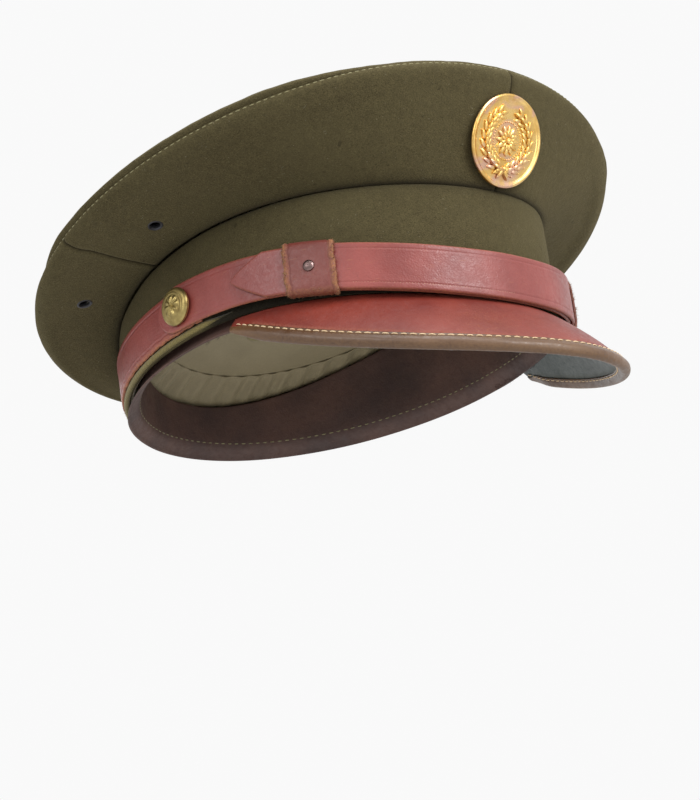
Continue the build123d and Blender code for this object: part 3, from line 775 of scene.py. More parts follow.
EYELET_PROFILE = [(EYELET_BORE, -2.5), (EYELET_BORE, 0.45), (2.3, 0.75), (2.75, 0.9), (3.2, 0.75),
                  (3.6, 0.4), (3.7, 0.1), (3.4, -0.05), (EYELET_BARREL, -0.1), (EYELET_BARREL, -2.5)]
for number, (angle, rise) in enumerate(EYELETS):
    for word, side in (("right", 1), ("left", -1)):
        spot = plane_on(QUARTER, side * angle, rise)
        spot = (spot[0] + spot[3] * (0.35 * bulge_at(side * angle, rise)), *spot[1:])
        ring = revolved(f"vent_eyelet_{word}_{number + 1}", spot, EYELET_PROFILE, ENAMEL,
                        "eyelet_enamel", 40)
        if number == 0 and side == 1:
            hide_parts("vent_eyelets")
        quarter = shown[f"quarter_{'front' if angle < SIDE_SEAM else 'rear'}_{word}"]
        bore(quarter, spot, EYELET_BARREL - 0.15)


def lint(count, seed):
    """Stray pale fibres caught on the wool."""
    rng = np.random.default_rng(seed)
    parts = []
    for _ in range(count):
        angle, rise = rng.uniform(-150, 150), rng.uniform(0.12, 0.85)
        origin, x, y, z = plane_on(QUARTER, angle, rise)
        lift = bulge_at(angle, rise)
        size, turn, curl = rng.uniform(0.8, 3.2), rng.uniform(0, 6.28), rng.uniform(-2.6, 2.6)
        share = np.linspace(-1, 1, 9)
        heading = turn + curl * share
        flat = np.cumsum(np.stack([np.cos(heading), np.sin(heading)], -1), 0) * size / 9
        spine = (origin + z * (lift + 0.12) + flat[:, :1] * x + flat[:, 1:] * y)
        ring = np.array([y, z * 0.8 - y * 0.5, -z * 0.8 - y * 0.5]) * 0.032
        points = spine[:, None] + ring[None]
        parts.append((points.reshape(-1, 3), tube_faces(9, 3)))
    return merged(parts)


piece("wool_lint", *lint(46, 21), LINT, "wool")


# ---------------------------------------------------------------- band, sweatband and lining

def make_band_cover():
    height = BAND.height(ROUND)
    low, high = 0.9 + 0 * ROUND, height + 0.15
    position, depth, face = strip(low, high, -CLOTH, 0.0, 44, 4)
    points = BAND.up(ROUND[:, None], position)
    depth = depth + 0.22 * ripple(points, 40, 8) * face
    from_back = np.abs(ROUND - 180)[:, None] * 1.7
    depth = depth - 0.7 * np.exp(-from_back / 0.8) * face
    depth = depth - 0.9 * fade(high[:, None] - position, 0.9)
    # Painted shade: the band goes near black at its top edge, in the join under the crown.
    wear = 0.9 * fade(high[:, None] - position, 1.5)
    rings = BAND.up(ROUND[:, None], position, depth)
    # Painted shadow: at the front the band goes near black below and just behind the strap's lower edge,
    # where the strap stands off the band.
    ahead = 1 - smooth((np.abs((ROUND + 180) % 360 - 180) - 78) / 8)
    strap_shadow = smooth((strap_edge(ROUND)[:, None] + 2.5 - rings[..., 2]) / 1.5)
    wear = np.maximum(wear, 1.2 * ahead[:, None] * strap_shadow)
    return sweep("band_cover", rings, WOOL, "wool", closed=True, replaces=("band_cover",), wear=wear)


def simple_ring(name, wall, low, high, inner, outer, paint, slot, angles=ROUND, closed=True,
                bend=None, across=20, **options):
    height = wall.height(angles)
    position, depth, _ = strip(low + 0 * height, height + high, inner, outer, across, 4)
    if bend:
        depth = depth + bend(angles[:, None], position)
    rings = wall.up(angles[:, None], position, depth)
    return sweep(name, rings, paint, slot, closed=closed, **options)


shown["band_cover"] = make_band_cover()
simple_ring("band_stiffener", BAND, 2.6, -2.4, -3.0, -1.9, BUCKRAM, "buckram",
            replaces=("band_stiffener",))
simple_ring("front_stiffener", QUARTER, 3.0, -5.5, -CLOTH - 1.2, -CLOTH - 0.25, BUCKRAM, "buckram",
            np.linspace(-24, 24, 40), False, lambda angle, spot: quarter_bulge(angle, spot),
            replaces=("front_stiffener",))


def rear_strap_edge(angle):
    back = smooth((90 - np.abs(np.abs(angle) - 180)) / 90)
    return STRAP_EDGE_SIDE + (2.0 - STRAP_EDGE_SIDE) * back


def make_piping():
    """The folded tape fills the space under the strap, and narrows to nothing by the visor."""
    angle = np.linspace(PIPING_START - 5, 365 - PIPING_START, 700)
    ends = smooth((105.5 - np.abs(angle - 180)) / 9)
    high = rear_strap_edge(angle) - 0.15 - 1.2 * (1 - ends)
    low = high - 0.7 - 2.0 * ends
    position, depth, face = strip(low, high, -1.4, 0.35 + 0.75 * ends, 10, 6)
    weave = 0.07 * np.sin(np.radians(angle)[:, None] * 260 + position * 1.5) * (0.3 + face)
    wear = 1.2 * (1 - ends)[:, None] + 0.7 * fade(high[:, None] - position, 0.5)
    return sweep("band_piping", BAND.level(angle[:, None], position, depth + weave), PIPING,
                 "piping_tape", replaces=("band_piping",), wear=np.clip(wear, 0, 1))


make_piping()


def sweatband_curl(angle, position):
    """The lower edge curls out to the band's edge, and the leather is a little uneven."""
    points = SWEATBAND.up(angle, position)
    away = np.abs((np.asarray(angle) + 180) % 360 - 180)
    curl = 2.7 + 1.7 * smooth((away - 66) / 16)
    return curl * np.exp(-(np.clip(position + 2.6, 0, None) / 3.6) ** 2) + 0.22 * ripple(points, 30, 14)


simple_ring("sweatband", SWEATBAND, -2.6, 0.0, -1.0, 0.0, SWEAT, "sweatband_leather",
            bend=sweatband_curl, across=40, replaces=("sweatband",))


def sweatband_fray(count=260):
    """Worn fibres on the sweatband's edge by both ends of the visor."""
    rng = np.random.default_rng(95)
    where = np.concatenate([rng.uniform(62, 84, count), rng.uniform(276, 298, count)])
    roots = SWEATBAND.up(where, rng.uniform(-2.4, -0.8, 2 * count), 2.6)
    stray = 0.7 * rng.normal(size=(2 * count, 3))
    return fibres(roots, unit(SWEATBAND.normal(where) + np.array([0, 0, -0.5]) + stray), 1.5, 0.06)


piece("sweatband_fray", *sweatband_fray(), SWEAT, "sweatband_leather")
inside = SWEATBAND.up(CLOSED, 4.2 + 0 * CLOSED,
                      sweatband_curl(CLOSED[:, None], np.full((len(CLOSED), 1), 4.2))[:, 0] - 0.92)
piece("sweatband_stitching", *stitches(inside, -SWEATBAND.normal(CLOSED), 2.4, 3.4, 0.45, 0.4),
      THREAD_OLIVE, "sweatband_leather")


def lining_gathers(angle, position):
    height = LINING_SIDE.height(angle)
    share = np.clip(position / height, 0, 1)
    wave = np.sin(np.radians(angle) * 54 + 1.5 * np.sin(np.radians(angle) * 7))
    return 0.8 * wave * (0.2 + 0.8 * np.sin(np.pi * share * 0.9)) + 0.5 * np.sin(np.pi * share)


LINING_ROUND = np.linspace(0, 360, 540, endpoint=False)
shown["lining_side"] = simple_ring("lining_side", LINING_SIDE, 0.0, 0.4, -0.6, 0.0, LINING,
                                   "lining_cloth", LINING_ROUND, True, lining_gathers, 22,
                                   replaces=("lining_side",))


def inner_plate(name, outline, top, thickness, paint, slot, **options):
    """A plate that follows the crown's curve; outline gives (x, y) for each angle at share 1."""
    centre = outline.mean(0)
    share = np.concatenate([np.linspace(0.03, 0.97, 22), [0.99, 1.0]])
    flat = centre + share[:, None, None] * (outline - centre)
    sag = 0.4 * ripple(np.concatenate([flat, 0 * flat[..., :1]], -1), 40, 31) * (1 - share**2)[:, None]
    upper = crown_height(flat[..., 1]) + top + sag
    rings = [np.concatenate([flat, (upper - drop)[..., None]], -1) for drop in (0, thickness)]
    return sweep(name, np.concatenate([rings[0], rings[1][::-1]]), paint, slot, caps="fan",
                 sharp=50, **options)


tip_outline = oval(shrunk(LINING_TIP_OVAL, -1.3), ROUND, 0)[:, :2]
shown["lining_tip"] = inner_plate("lining_tip", tip_outline, 0.2 - LINING_TIP_DROP, 0.6, LINING,
                                  "lining_cloth", replaces=("lining_tip",))


def shield_outline(inset, smoothing=9):
    turn = np.linspace(0, 2 * np.pi, 240, endpoint=False)
    reach = np.minimum((65.0 - inset) / (np.abs(np.cos(turn)) + np.abs(np.sin(turn))),
                       (50.0 - inset) / np.maximum(np.abs(np.cos(turn)), 1e-6))
    kernel = np.hanning(smoothing + 2)[1:-1]
    padded = np.concatenate([reach[-smoothing:], reach, reach[:smoothing]])
    reach = np.convolve(padded, kernel / kernel.sum(), "same")[smoothing:-smoothing]
    return np.stack([reach * np.cos(turn), reach * np.sin(turn) - 8], -1)


inner_plate("sweat_shield", shield_outline(1.0), -LINING_TIP_DROP - 1.25, 0.3, FILM, "clear_film",
            replaces=("sweat_shield",))


def shield_binding():
    """A tape sewn round the shield's edge."""
    rings = []
    for inset, drop in ((0.0, 1.15), (0.2, 1.55), (2.4, 1.75), (4.6, 1.6), (4.8, 1.2), (2.4, 1.1)):
        flat = shield_outline(inset)
        height = crown_height(flat[:, 1]) - LINING_TIP_DROP - drop
        rings.append(np.concatenate([flat, height[:, None]], -1))
    return np.array(rings).transpose(1, 0, 2)


sweep("shield_binding", shield_binding(), PIPING, "lining_cloth", closed=True)


# ---------------------------------------------------------------- visor

def rim(angle):
    turn = np.radians(angle)
    forward, side = np.cos(turn), np.sin(turn)
    base, slope, bow = RIM_HEIGHTS
    return np.stack([-RIM_HALF_WIDTH * np.sign(side) * np.abs(side) ** RIM_SQUARENESS,
                     RIM_CENTRE - RIM_REACH * np.abs(forward) ** RIM_SQUARENESS,
                     base + slope * forward + bow * forward**2], -1)


def visor_root(angle):
    point = rim(angle)
    half_length, half_width, shift = BASE_OVAL
    round_head = np.degrees(np.arctan2(-point[..., 0] / half_width,
                                       (shift - point[..., 1]) / half_length))
    return band_edge(round_head) - np.array([0, 0, 0.4])


def visor_axes(angle):
    root, edge = visor_root(angle), rim(angle)
    out = unit(edge - root)
    down = unit(np.cross(out, rim(angle + 0.25) - rim(angle - 0.25)))
    down = down * -np.sign(down[..., 2:])
    return root, edge, out, down


def visor_length(angle):
    return np.linalg.norm(rim(angle) - visor_root(angle), axis=-1)


def visor_place(angle, distance, depth):
    """A point a distance out from the band and a depth below the visor's top face."""
    root, _, out, down = visor_axes(angle)
    length = visor_length(angle)
    share = np.clip(distance / length, 0, 1)
    arch = 0.14 * length * share * (1 - share)
    slim = 0.35 + 0.65 * smooth((VISOR_END - np.abs(angle)) / 9)
    return root + out * distance[..., None] + down * (depth * slim - arch)[..., None]


VISOR_ANGLES = np.concatenate([np.linspace(-VISOR_END, -70, 24)[:-1], np.linspace(-70, 70, 110),
                               np.linspace(70, VISOR_END, 24)[1:]])


def make_visor_layer(name, near, far, paint, slot):
    length = visor_length(VISOR_ANGLES)
    high = length - np.minimum(1.6, 0.3 * length)
    position, depth, _ = strip(-1.4 + 0 * length, high, near, far, 30, 3)
    depth = depth + 0.10 * ripple(visor_place(VISOR_ANGLES[:, None], position, 0 * position), 30, 17)
    rings = visor_place(VISOR_ANGLES[:, None], position, depth)
    inboard = np.clip(length[:, None] - position, 0, None)
    wear = 0.55 * bell(inboard - 7.0, 1.2) * (np.abs(VISOR_ANGLES)[:, None] < 80)
    return sweep(name, rings, paint, slot, replaces=(name,), wear=wear + 0 * position)


make_visor_layer("visor_top", 0.0, 0.8, VISOR, "visor_leather")
make_visor_layer("visor_core", 0.9, 2.5, BOARD, "fibreboard")
make_visor_layer("visor_underside", 2.6, 3.1, UNDERSIDE, "visor_lining")

def make_binding():
    """A strip folded round the rim: its section is a U with rounded ends."""
    turn = np.linspace(-np.pi / 2, np.pi / 2, 15)
    outer_bend = np.stack([2.35 - 2.35 * np.cos(turn), 1.55 + 2.35 * np.sin(turn)], -1)
    inner_bend = np.stack([2.35 - 1.65 * np.cos(turn), 1.55 + 1.65 * np.sin(turn)], -1)[::-1]
    section = []
    length = visor_length(VISOR_ANGLES)
    width = np.minimum(BINDING_WIDTH, 0.6 * length)
    width = 2.9 + (width - 2.9) * smooth((VISOR_END - np.abs(VISOR_ANGLES)) / 6)
    for wide in width:
        legs = np.linspace(wide - 0.3, 2.6, 8)
        top = np.stack([legs, np.full(8, -0.8)], -1)
        low = np.stack([legs[::-1], np.full(8, 3.9)], -1)
        end_low = np.array([(wide, 3.75), (wide + 0.1, 3.5), (wide, 3.22)])
        low_in = np.stack([legs, np.full(8, 3.2)], -1)
        top_in = np.stack([legs[::-1], np.full(8, -0.1)], -1)
        end_top = np.array([(wide, -0.12), (wide + 0.1, -0.4), (wide, -0.65)])
        section.append(np.concatenate([top, outer_bend, low, end_low, low_in, inner_bend, top_in,
                                       end_top]))
    section = np.array(section)
    inboard, depth = section[..., 0], section[..., 1]
    column = VISOR_ANGLES[:, None]
    spot = length[:, None] - inboard
    points = visor_place(column, spot, depth)
    swell = 0.16 * ripple(points, 7.0, 40) + 0.12 * ripple(points, 22.0, 41)
    squeeze = 0.28 * bell(inboard - 5.0, 0.7) * (np.abs(column) < 82)
    outside = np.where(depth < 1.55, -1.0, 1.0)
    shell = ((depth < -0.3) | (depth > 3.4)).astype(float)
    points = visor_place(column, spot, depth + outside * shell * (0.5 * swell - squeeze))
    wear = 0.5 * bell(inboard, 1.5) + 0 * column
    return sweep("visor_binding", points, BINDING, "binding_leather", replaces=("visor_binding",),
                 wear=wear)


make_binding()
ROW = np.linspace(-85.2, 85.2, 1640)
for name, depth, outward in (("visor_topstitch", -0.62, -1), ("visor_understitch", 3.72, 1)):
    spot = visor_length(ROW) - np.minimum(5.0, 0.5 * visor_length(ROW))
    line = visor_place(ROW, spot, depth + 0 * ROW)
    piece(name, *stitches(line, outward * visor_axes(ROW)[3], 2.7, 3.6, 0.62, 0.5), THREAD,
          "binding_leather")


# ---------------------------------------------------------------- straps and keepers

def strap_wave(angle):
    """Both straps share the same slight unevenness, so they never touch."""
    turn = np.radians(angle)
    return 0.16 * np.sin(7 * turn + 1.0) + 0.10 * np.sin(17 * turn)


def crease(position, low, high):
    """Two lines pressed in near the strap's edges, and rounded shoulders."""
    edge = nearest_edge(position, low, high)
    return (-0.34 * bell(edge - 2.6, 0.30) - 0.20 * fade(edge, 0.5)
            + 0.07 * bell(edge - 3.4, 0.5))


def strap_angles(start, end):
    """Angles from the button end to the tongue's tip, closer together at both ends."""
    sign = np.sign(end - start)
    near = np.array([0, 0.15, 0.4, 0.8, 1.3, 1.9, 2.6, 3.4, 4.3])
    middle = np.linspace(start + sign * 5.3, end - sign * 9.5, 120)
    tongue = np.linspace(9, 0, 26)
    return np.concatenate([start + sign * near, middle, end - sign * tongue])


def strap_outline(angle, start, end):
    """Lower and upper edges: a round button end and a pointed tongue."""
    low = strap_edge(angle)
    middle, half = low + STRAP_HEIGHT / 2, STRAP_HEIGHT / 2
    from_start = np.abs(angle - start) * 1.55
    round_end = half * np.sqrt(np.clip(1 - np.clip(1 - from_start / half, 0, 1) ** 2, 0.004, 1))
    from_tip = np.abs(end - angle) * 1.62
    tongue = half * np.clip(0.05 + 0.95 * np.clip(from_tip / 13.5, 0, 1) ** 0.80, 0, 1)
    size = np.minimum(round_end, tongue)
    return middle - size, middle + size


def make_chin_strap(name, start, end, face_of):
    angle = strap_angles(start, end)
    low, high = strap_outline(angle, start, end)
    face = face_of(angle) + strap_wave(angle)
    position, depth, outer = strip(low, high, face, face + STRAP_THICKNESS, 66, 4)
    edge = nearest_edge(position, low, high)
    show = 0.42 * (1 - smooth((angle - 46) / 8))[:, None] if end > start else 0.2
    depth = depth + crease(position, low, high) * outer * show
    depth = depth - 0.1 * fade(edge, 0.5)
    wear = 0.8 * fade(edge, 0.30)
    rings = BAND.level(angle[:, None], position, depth)
    return sweep(name, rings, STRAP, "strap_leather", body="chin_strap", replaces=(name,), wear=wear)


make_chin_strap("chin_strap_inner", STRAP_BUTTON_END, -INNER_TONGUE_END, strap_face)
make_chin_strap("chin_strap_outer", -STRAP_BUTTON_END, OUTER_TONGUE_END, outer_face)


def strap_point(angle, across, lift):
    """A point on the outer strap's front face, a distance up from its lower edge."""
    face = outer_face(angle) + strap_wave(angle) + STRAP_THICKNESS
    return BAND.level(angle, strap_edge(angle) + across, face + lift)


for name, span, across in (("strap_stitching_lower", (43.5, 2.0), 2.6),
                           ("strap_stitching_upper", (43.5, 26.0), STRAP_HEIGHT - 2.6)):
    line = np.linspace(*span, 600)
    piece(name, *stitches(strap_point(line, across, -0.28), BAND.normal(line), 0.75, 1.15, 0.34, 0.3),
          THREAD if "lower" in name else THREAD_OLIVE, "strap_leather", body="chin_strap")


def keeper_path(angle, turn):
    """The loop round both straps, as (height, depth)."""
    clear = 0.3
    inner = strap_face(angle) - clear
    outer = outer_face(angle) + STRAP_THICKNESS + clear
    half_up, half_out = STRAP_HEIGHT / 2 + clear, (outer - inner) / 2
    middle_out = (outer + inner) / 2
    ease = 0.22
    up = np.sign(np.sin(turn)) * np.abs(np.sin(turn)) ** ease * half_up
    out = np.sign(np.cos(turn)) * np.abs(np.cos(turn)) ** 0.42 * half_out
    return up, middle_out + out


def make_keeper(word, centre):
    dense = np.linspace(0, 2 * np.pi, 2400, endpoint=False)
    up, out = keeper_path(centre, dense)
    steps = np.hypot(np.diff(up, append=up[0]), np.diff(out, append=out[0]))
    along = np.concatenate([[0], np.cumsum(steps)])
    turn = np.interp(np.linspace(0, along[-1], 200, endpoint=False), along,
                     np.append(dense, 2 * np.pi))
    up, out = keeper_path(centre, turn)
    direction = np.stack([np.roll(up, -1) - np.roll(up, 1), np.roll(out, -1) - np.roll(out, 1)], -1)
    direction = unit(direction)
    normal = np.stack([direction[:, 1], -direction[:, 0]], -1)
    normal = normal * np.sign((normal * np.stack([up, out - out.mean()], -1)).sum(-1, keepdims=True))
    ragged = 0.30 * ripple(np.stack([up, out, 0 * up], -1), 3.0, 50 + len(word))
    half = KEEPER_WIDTH / 2
    low, high = -half + ragged, half + np.roll(ragged, 40)
    position, depth, face = strip(low, high, 0.0, KEEPER_THICKNESS, 50, 4)
    edge = nearest_edge(position, low, high)
    press = (-0.32 * bell(edge - 2.3, 0.32) + 0.12 * bell(edge - 1.2, 0.6)
             - 0.22 * fade(edge, 0.4))
    crown = 0.45 * np.clip(1 - (up / 9.6) ** 2, 0, 1)[:, None] * (out > out.mean())[:, None]
    depth = depth + press * face + crown
    heights = up[:, None] + normal[:, :1] * depth
    depths = out[:, None] + normal[:, 1:] * depth
    angle = centre - position / 1.70
    level = strap_edge(angle) + STRAP_HEIGHT / 2 + heights
    shift = strap_face(angle) - strap_face(centre) + strap_wave(angle) * 0.5
    rings = BAND.level(angle, level, depths + shift)
    worn = 1.0 if word == "right" else 0.15
    wear = np.clip(worn * (1.35 - np.clip(edge, 0, None) / 1.9), 0, 1)
    lowest = np.clip((-up - 8.4) / 1.2, 0, 1)[:, None]
    wear = np.maximum(wear, 0.45 * worn * lowest + 0 * edge)
    sweep(f"keeper_{word}", rings, KEEPER, "strap_leather", closed=True, body="chin_strap",
          replaces=(f"keeper_{word}",), wear=wear)
    roots, ways = [], []
    rng = np.random.default_rng(60 + len(word))
    front = np.where((out > out.mean() - 0.5))[0]
    near = np.abs(position) > half - 1.5
    for _ in range(900):
        i = rng.choice(front)
        j = rng.choice(np.where(near[i])[0])
        side = unit(rings[i, j] - rings[i, np.argmin(np.abs(position[i]))])
        roots.append(rings[i, j])
        ways.append(unit(0.55 * side + 0.8 * BAND.normal(angle[i, j]) + 0.9 * rng.normal(size=3)))
    for _ in range(420):
        i = rng.choice(np.where((up < -9.0) & (out > out.mean() - 1))[0])
        j = rng.integers(0, rings.shape[1])
        roots.append(rings[i, j])
        below = np.array([0, 0, -0.4])
        ways.append(unit(0.6 * BAND.normal(angle[i, j]) + below + 0.7 * rng.normal(size=3)))
    piece(f"keeper_fray_{word}", *fibres(np.array(roots), np.array(ways), 0.95, 0.055), FRAY,
          "strap_leather", body="chin_strap")


for word, centre in KEEPERS.items():
    make_keeper(word, centre)

for word, centre in KEEPERS.items():
    height = strap_edge(centre) + STRAP_HEIGHT / 2
    seat = outer_face(centre) + STRAP_THICKNESS + 0.3 + KEEPER_THICKNESS
    centre = np.float64(centre)
    normal = BAND.normal(centre)
    up = np.array([0.0, 0.0, 1.0])
    side = unit(np.cross(up, normal))
    spot = (BAND.level(centre, height, seat + 0.35), side, np.cross(normal, side), normal)
    dome = np.linspace(0.02, 0.5 * np.pi, 10)
    profile = [(0.02, -0.6), (2.3, -0.6)] + [(2.4 * np.sin(t), 0.1 + 1.5 * np.cos(t)) for t in dome[::-1]]
    rivet = revolved(f"keeper_rivet_{word}", spot, profile, RIVET, "dark_metal", 32, body="chin_strap")
    if word == "right":
        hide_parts("keeper_rivets")


def make_rear_strap():
    angle = np.linspace(83, 277, 230)
    lower = rear_strap_edge(angle)
    points = BAND.level(angle, lower)
    worn = 0.35 * ripple(points, 4.0, 71) + 0.25 * ripple(points, 1.6, 72)
    low, high = lower + np.clip(worn, -0.4, 0.5), lower + STRAP_HEIGHT - 0.5
    face = 0.3 + 0.08 * ripple(points, 30, 73)
    position, depth, outer = strip(low, high, face, face + STRAP_THICKNESS, 60, 4)
    depth = depth + crease(position, low, high) * outer
    from_low = position - low[:, None]
    wear = np.clip(fade(from_low, 1.1)
                   + 0.6 * fade(high[:, None] - position, 0.5), 0, 1)
    rings = BAND.level(angle[:, None], position, depth)
    sweep("rear_strap", rings, STRAP, "strap_leather", replaces=("rear_strap",), wear=wear)
    rng = np.random.default_rng(80)
    where = rng.uniform(85, 275, 900)
    base = np.interp(where, angle, low)
    roots = BAND.level(where, base + 0.15, 0.4 + rng.uniform(0, 1.3, len(where)))
    ways = unit(BAND.normal(where) * 0.5 + np.array([0, 0, -0.6]) + 0.6 * rng.normal(size=(len(where), 3)))
    piece("rear_strap_fray", *fibres(roots, ways, 0.8, 0.055), FRAY, "strap_leather")


make_rear_strap()


# ---------------------------------------------------------------- side buttons

def petals(radius, turn, count, reach):
    """A rosette in relief: ridged petals that fade out at the reach."""
    wave = 0.5 + 0.5 * np.cos(count * turn)
    return wave**0.8 * np.sin(np.pi * np.clip(radius / reach, 0, 1)) ** 0.8


def button_relief(radius, turn):
    twist = 0.55 + 0.45 * np.sin(44 * turn + 2.2 * radius)
    rope = 0.16 * bell(radius - 6.5, 0.42) * twist
    rings = 0.14 * bell(radius - 5.5, 0.22)
    field = 0.035 * np.sin(radius * 9.0) * (radius < 5.2)
    boss = 0.35 * np.clip(1 - (radius / 1.1) ** 2, 0, 1)
    flower = 0.62 * petals(radius, turn, 8, 4.6) * (radius < 4.6)
    return rope + rings + field + boss + flower


def make_button_dome(word, side):
    """The stamped front: a shallow dome with relief, and a lip rolled over the back plate."""
    wall = -float(BAND.level(np.float64(90.0), BUTTON_HEIGHT)[0])
    reach = wall + STRAP_STANDOFF[0] + STRAP_THICKNESS + 0.6
    spot = (np.array([side * reach, 0.0, BUTTON_HEIGHT]), np.array([0.0, 1.0, 0.0]),
            np.array([0.0, 0.0, float(side)]), np.array([float(side), 0.0, 0.0]))
    ball = (BUTTON_RADIUS**2 + 2.2**2) / (2 * 2.2)
    radii = np.concatenate([[0.03], np.linspace(0.2, 7.0, 46)])
    front = np.stack([radii, BUTTON_DOME - 0.55 * (ball - np.sqrt(ball**2 - radii**2))], -1)
    edge = front[-1, 1]
    lip = np.array([(7.4, edge - 0.25), (7.7, edge - 0.6), (7.9, 1.1), (7.95, 0.75), (7.8, 0.7),
                    (7.2, 0.7)])
    inside = front[::-6] - np.array([0, 0.7])

    def relief(radius, turn):
        on_front = np.arange(radius.shape[1]) < len(front)
        return button_relief(radius, turn) * on_front[None]

    revolved(f"button_dome_{word}", spot, np.concatenate([front, lip, inside]), AGED, "aged_brass",
             144, relief, body=f"{word}_button", replaces=(f"button_dome_{word}",))


make_button_dome("right", -1)
make_button_dome("left", 1)


# ---------------------------------------------------------------- cap badge

BADGE = plane_on(QUARTER, 0.0, BADGE_RISE)
DISC = [(0.05, 2.10), (4, 2.09), (8, 2.04), (12, 1.96), (14.6, 1.88), (16.4, 1.84), (16.9, 1.88),
        (17.2, 2.02), (17.5, 2.2), (17.8, 2.32), (18.15, 2.38), (18.5, 2.32), (18.8, 2.1), (19.0, 1.6),
        (18.9, 1.1), (18.5, 0.7), (17.9, 0.6), (12, 0.85), (6, 0.95), (0.05, 1.0)]


def hammered(radius, turn):
    """The stamped field isn't quite even."""
    flat = np.stack([radius * np.cos(turn), radius * np.sin(turn), 0 * radius * turn], -1)
    return 0.035 * ripple(flat, 5.0, 90)


revolved("badge_disc", BADGE, DISC, GILT, "gilt_brass", 160, hammered, replaces=("badge_disc",))


def on_badge(x, y, z, heading):
    """A small frame on the badge's face, turned to a heading in degrees."""
    origin, bx, by, bz = BADGE
    turn = np.radians(heading)
    return (origin + x * bx + y * by + z * bz, np.cos(turn) * bx + np.sin(turn) * by,
            -np.sin(turn) * bx + np.cos(turn) * by, bz)


def ball_piece(spot, radius, height, sections=7, around=12):
    tilt = np.linspace(0.02, np.pi / 2 + 0.25, sections)[:, None]
    turn = np.linspace(0, 2 * np.pi, around, endpoint=False)[None]
    local = np.stack([radius * np.sin(tilt) * np.cos(turn), radius * np.sin(tilt) * np.sin(turn),
                      height * np.cos(tilt) + 0 * turn], -1)
    return turned(spot, local).reshape(-1, 3), tube_faces(sections, around)


WREATH_RADIUS, LEAF_STEP = 11.4, 15.6


def on_ring(radius, place, lift, heading=None, side=1):
    """A frame on the badge at a radius and a direction in degrees; side -1 mirrors the place."""
    x, y = polar(radius, np.radians(place))
    return on_badge(side * x, y, lift, place if heading is None else heading)


def rosette():
    """Two rings of petals round a beaded boss, and a ring of beads."""
    parts = [seed_piece(on_ring(4.0, 30 * number, 1.95), 5.0, 2.3, 1.25, 0.3) for number in range(12)]
    parts += [seed_piece(on_ring(2.7, 30 * number + 15, 2.6), 2.9, 1.5, 0.95, 0.25)
              for number in range(12)]
    parts.append(ball_piece(on_badge(0, 0, 2.9, 0), 1.45, 1.0))
    parts += [ball_piece(on_ring(0.85 if number else 0.0, 45 * number, 3.45, 0), 0.36, 0.4)
              for number in range(9)]
    return parts + [ball_piece(on_ring(7.6, 9 * number, 1.98, 0), 0.42, 0.5, 5, 8)
                    for number in range(40)]


def laurel_stem(side):
    stem = np.radians(np.linspace(-84, 72, 60))[:, None]
    around = np.linspace(0, 2 * np.pi, 8, endpoint=False)[None]
    x, y = polar(WREATH_RADIUS + 0.42 * np.cos(around), stem)
    rings = turned(BADGE, np.stack([side * x, y, 2.1 + 0.45 * np.sin(around) + 0 * stem], -1))
    return rings.reshape(-1, 3), tube_faces(60, 8)


def laurel(side):
    """Half of the wreath: a stem, three rows of leaves and a row of berries."""
    parts = [laurel_stem(side)]
    side_leaf, top_leaf = (4.6, 1.9, 0.85), (4.2, 1.8, 1.35)
    rows = ((13.3, -30, 0, 2.0, side_leaf), (9.8, 30, 0, 2.0, side_leaf), (11.5, 0, 5, 2.25, top_leaf))
    for number in range(10):
        for reach, lean, ahead, lift, size in rows:
            place = -76 + LEAF_STEP * number + ahead
            heading = place + 90 + lean
            heading = heading if side > 0 else 180 - heading
            parts.append(seed_piece(on_ring(reach, place, lift, heading, side), *size, 0.42))
        berry = on_ring(14.6, -70 + LEAF_STEP * number, 1.9, 0, side)
        parts.append(ball_piece(berry, 0.42, 0.75, 5, 8))
    return parts


def bow():
    """The tie at the foot of the wreath."""
    parts = []
    for heading, size, drop in ((205, 5.2, -11.2), (-25, 5.2, -11.2), (236, 5.6, -12.0),
                                (-56, 5.6, -12.0)):
        x, y = polar(2.6, np.radians(heading))
        parts.append(seed_piece(on_badge(x, drop + 0.6 * y, 2.1, heading), size, 2.2, 1.2, 0.3))
    return parts + [ball_piece(on_badge(0, -11.3, 2.2, 0), 1.3, 1.3)]


def make_emblem():
    """A laurel wreath round a rosette, in high relief."""
    return merged(rosette() + laurel(1) + laurel(-1) + bow())


piece("badge_emblem", *make_emblem(), GILT, "gilt_brass", replaces=("badge_emblem",))

for node, paint in (("badge_post", BRASS), ("badge_washer", BRASS), ("badge_nut", BRASS),
                    ("button_back_right", BRASS), ("button_back_left", BRASS),
                    ("button_clip_right", STEEL), ("button_clip_left", STEEL),
                    ("crown_hoop", STEEL), ("vent_washers", ENAMEL)):
    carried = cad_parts[node]
    carried.data.materials.clear()
    carried.data.materials.append(paint)


# ---------------------------------------------------------------- studio

def stage_paint(name, value):
    paint = Paint(name, 0.9)
    paint.colour((value, value, value))
    return paint.material


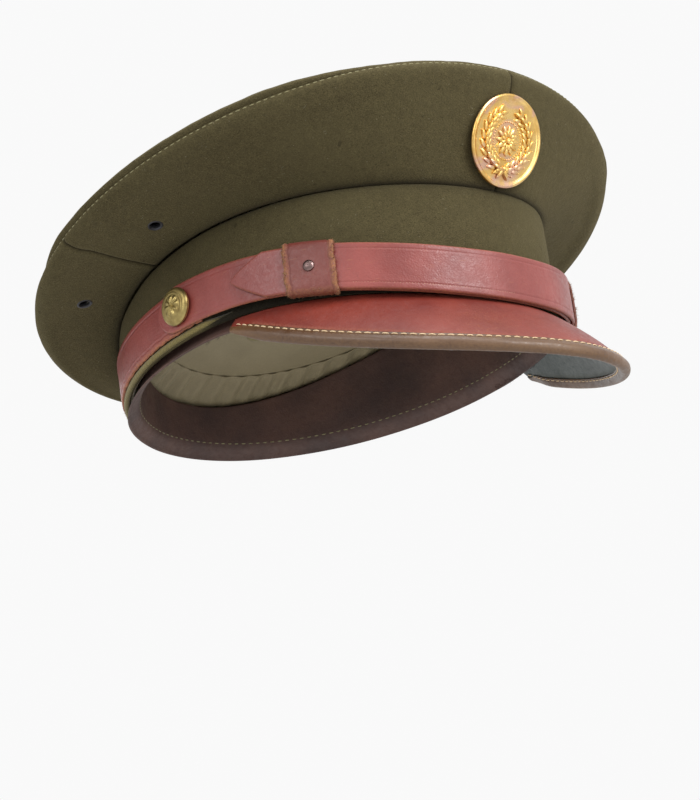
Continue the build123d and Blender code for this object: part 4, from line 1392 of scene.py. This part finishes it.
turn = np.linspace(0, 2 * np.pi, 64, endpoint=False)
floor_mesh = bpy.data.meshes.new("floor")
floor_mesh.from_pydata([(8 * np.cos(t), 8 * np.sin(t), -1.15) for t in turn], [], [list(range(64))])
floor_mesh.materials.append(stage_paint("pale_floor", 0.72))
floor = bpy.data.objects.new("floor", floor_mesh)
bpy.context.scene.collection.objects.link(floor)

world = bpy.data.worlds.new("studio")
bpy.context.scene.world = world
world.use_nodes = True
world.node_tree.nodes["Background"].inputs["Color"].default_value = (1.0, 1.0, 1.0, 1)
world.node_tree.nodes["Background"].inputs["Strength"].default_value = 0.95

TARGET = Vector((0.0, -0.01, 0.04))


def softbox(name, azimuth, elevation, distance, size, energy):
    """An area light aimed at the cap; azimuth 0 is in front of the visor."""
    light = bpy.data.lights.new(name, "AREA")
    light.shape = "DISK"
    light.size = size
    light.energy = energy
    lamp = bpy.data.objects.new(name, light)
    bpy.context.scene.collection.objects.link(lamp)
    a, e = np.radians(azimuth), np.radians(elevation)
    away = Vector((np.sin(a) * np.cos(e), -np.cos(a) * np.cos(e), np.sin(e)))
    lamp.location = TARGET + away * distance
    lamp.rotation_euler = (-away).to_track_quat("-Z", "Y").to_euler()
    return lamp


softbox("key", 2, 24, 1.3, 0.7, 11.5)
softbox("side", -80, 20, 1.5, 0.9, 7)
softbox("fill", 12, -8, 1.6, 1.0, 5)
softbox("top", -30, 70, 1.4, 1.0, 8)
softbox("back", 150, 30, 1.8, 1.2, 8)

# The camera, as a turn of the frame and the frame's origin seen from it, in millimetres.
CAMERA_TURN = (1.108, -0.573, 0.524)
CAMERA_SHIFT = (-2.28, -15.06, 1101.0)
FOCAL_PIXELS = 2608.0
turn = Vector(CAMERA_TURN)
seen = Matrix.Rotation(turn.length, 3, turn.normalized())
place = -(seen.transposed() @ Vector(CAMERA_SHIFT)) * MM
lens = bpy.data.cameras.new("camera")
lens.sensor_width = 36.0
lens.lens = FOCAL_PIXELS * 36.0 / 800.0
lens.clip_start = 0.05
lens.clip_end = 20.0
camera = bpy.data.objects.new("camera", lens)
bpy.context.scene.collection.objects.link(camera)
columns = Matrix((seen[0], -seen[1], -seen[2])).transposed()
camera.matrix_world = Matrix.Translation(place) @ columns.to_4x4()
bpy.context.scene.camera = camera
bpy.context.scene.view_settings.view_transform = "Standard"
bpy.context.scene.view_settings.look = "None"
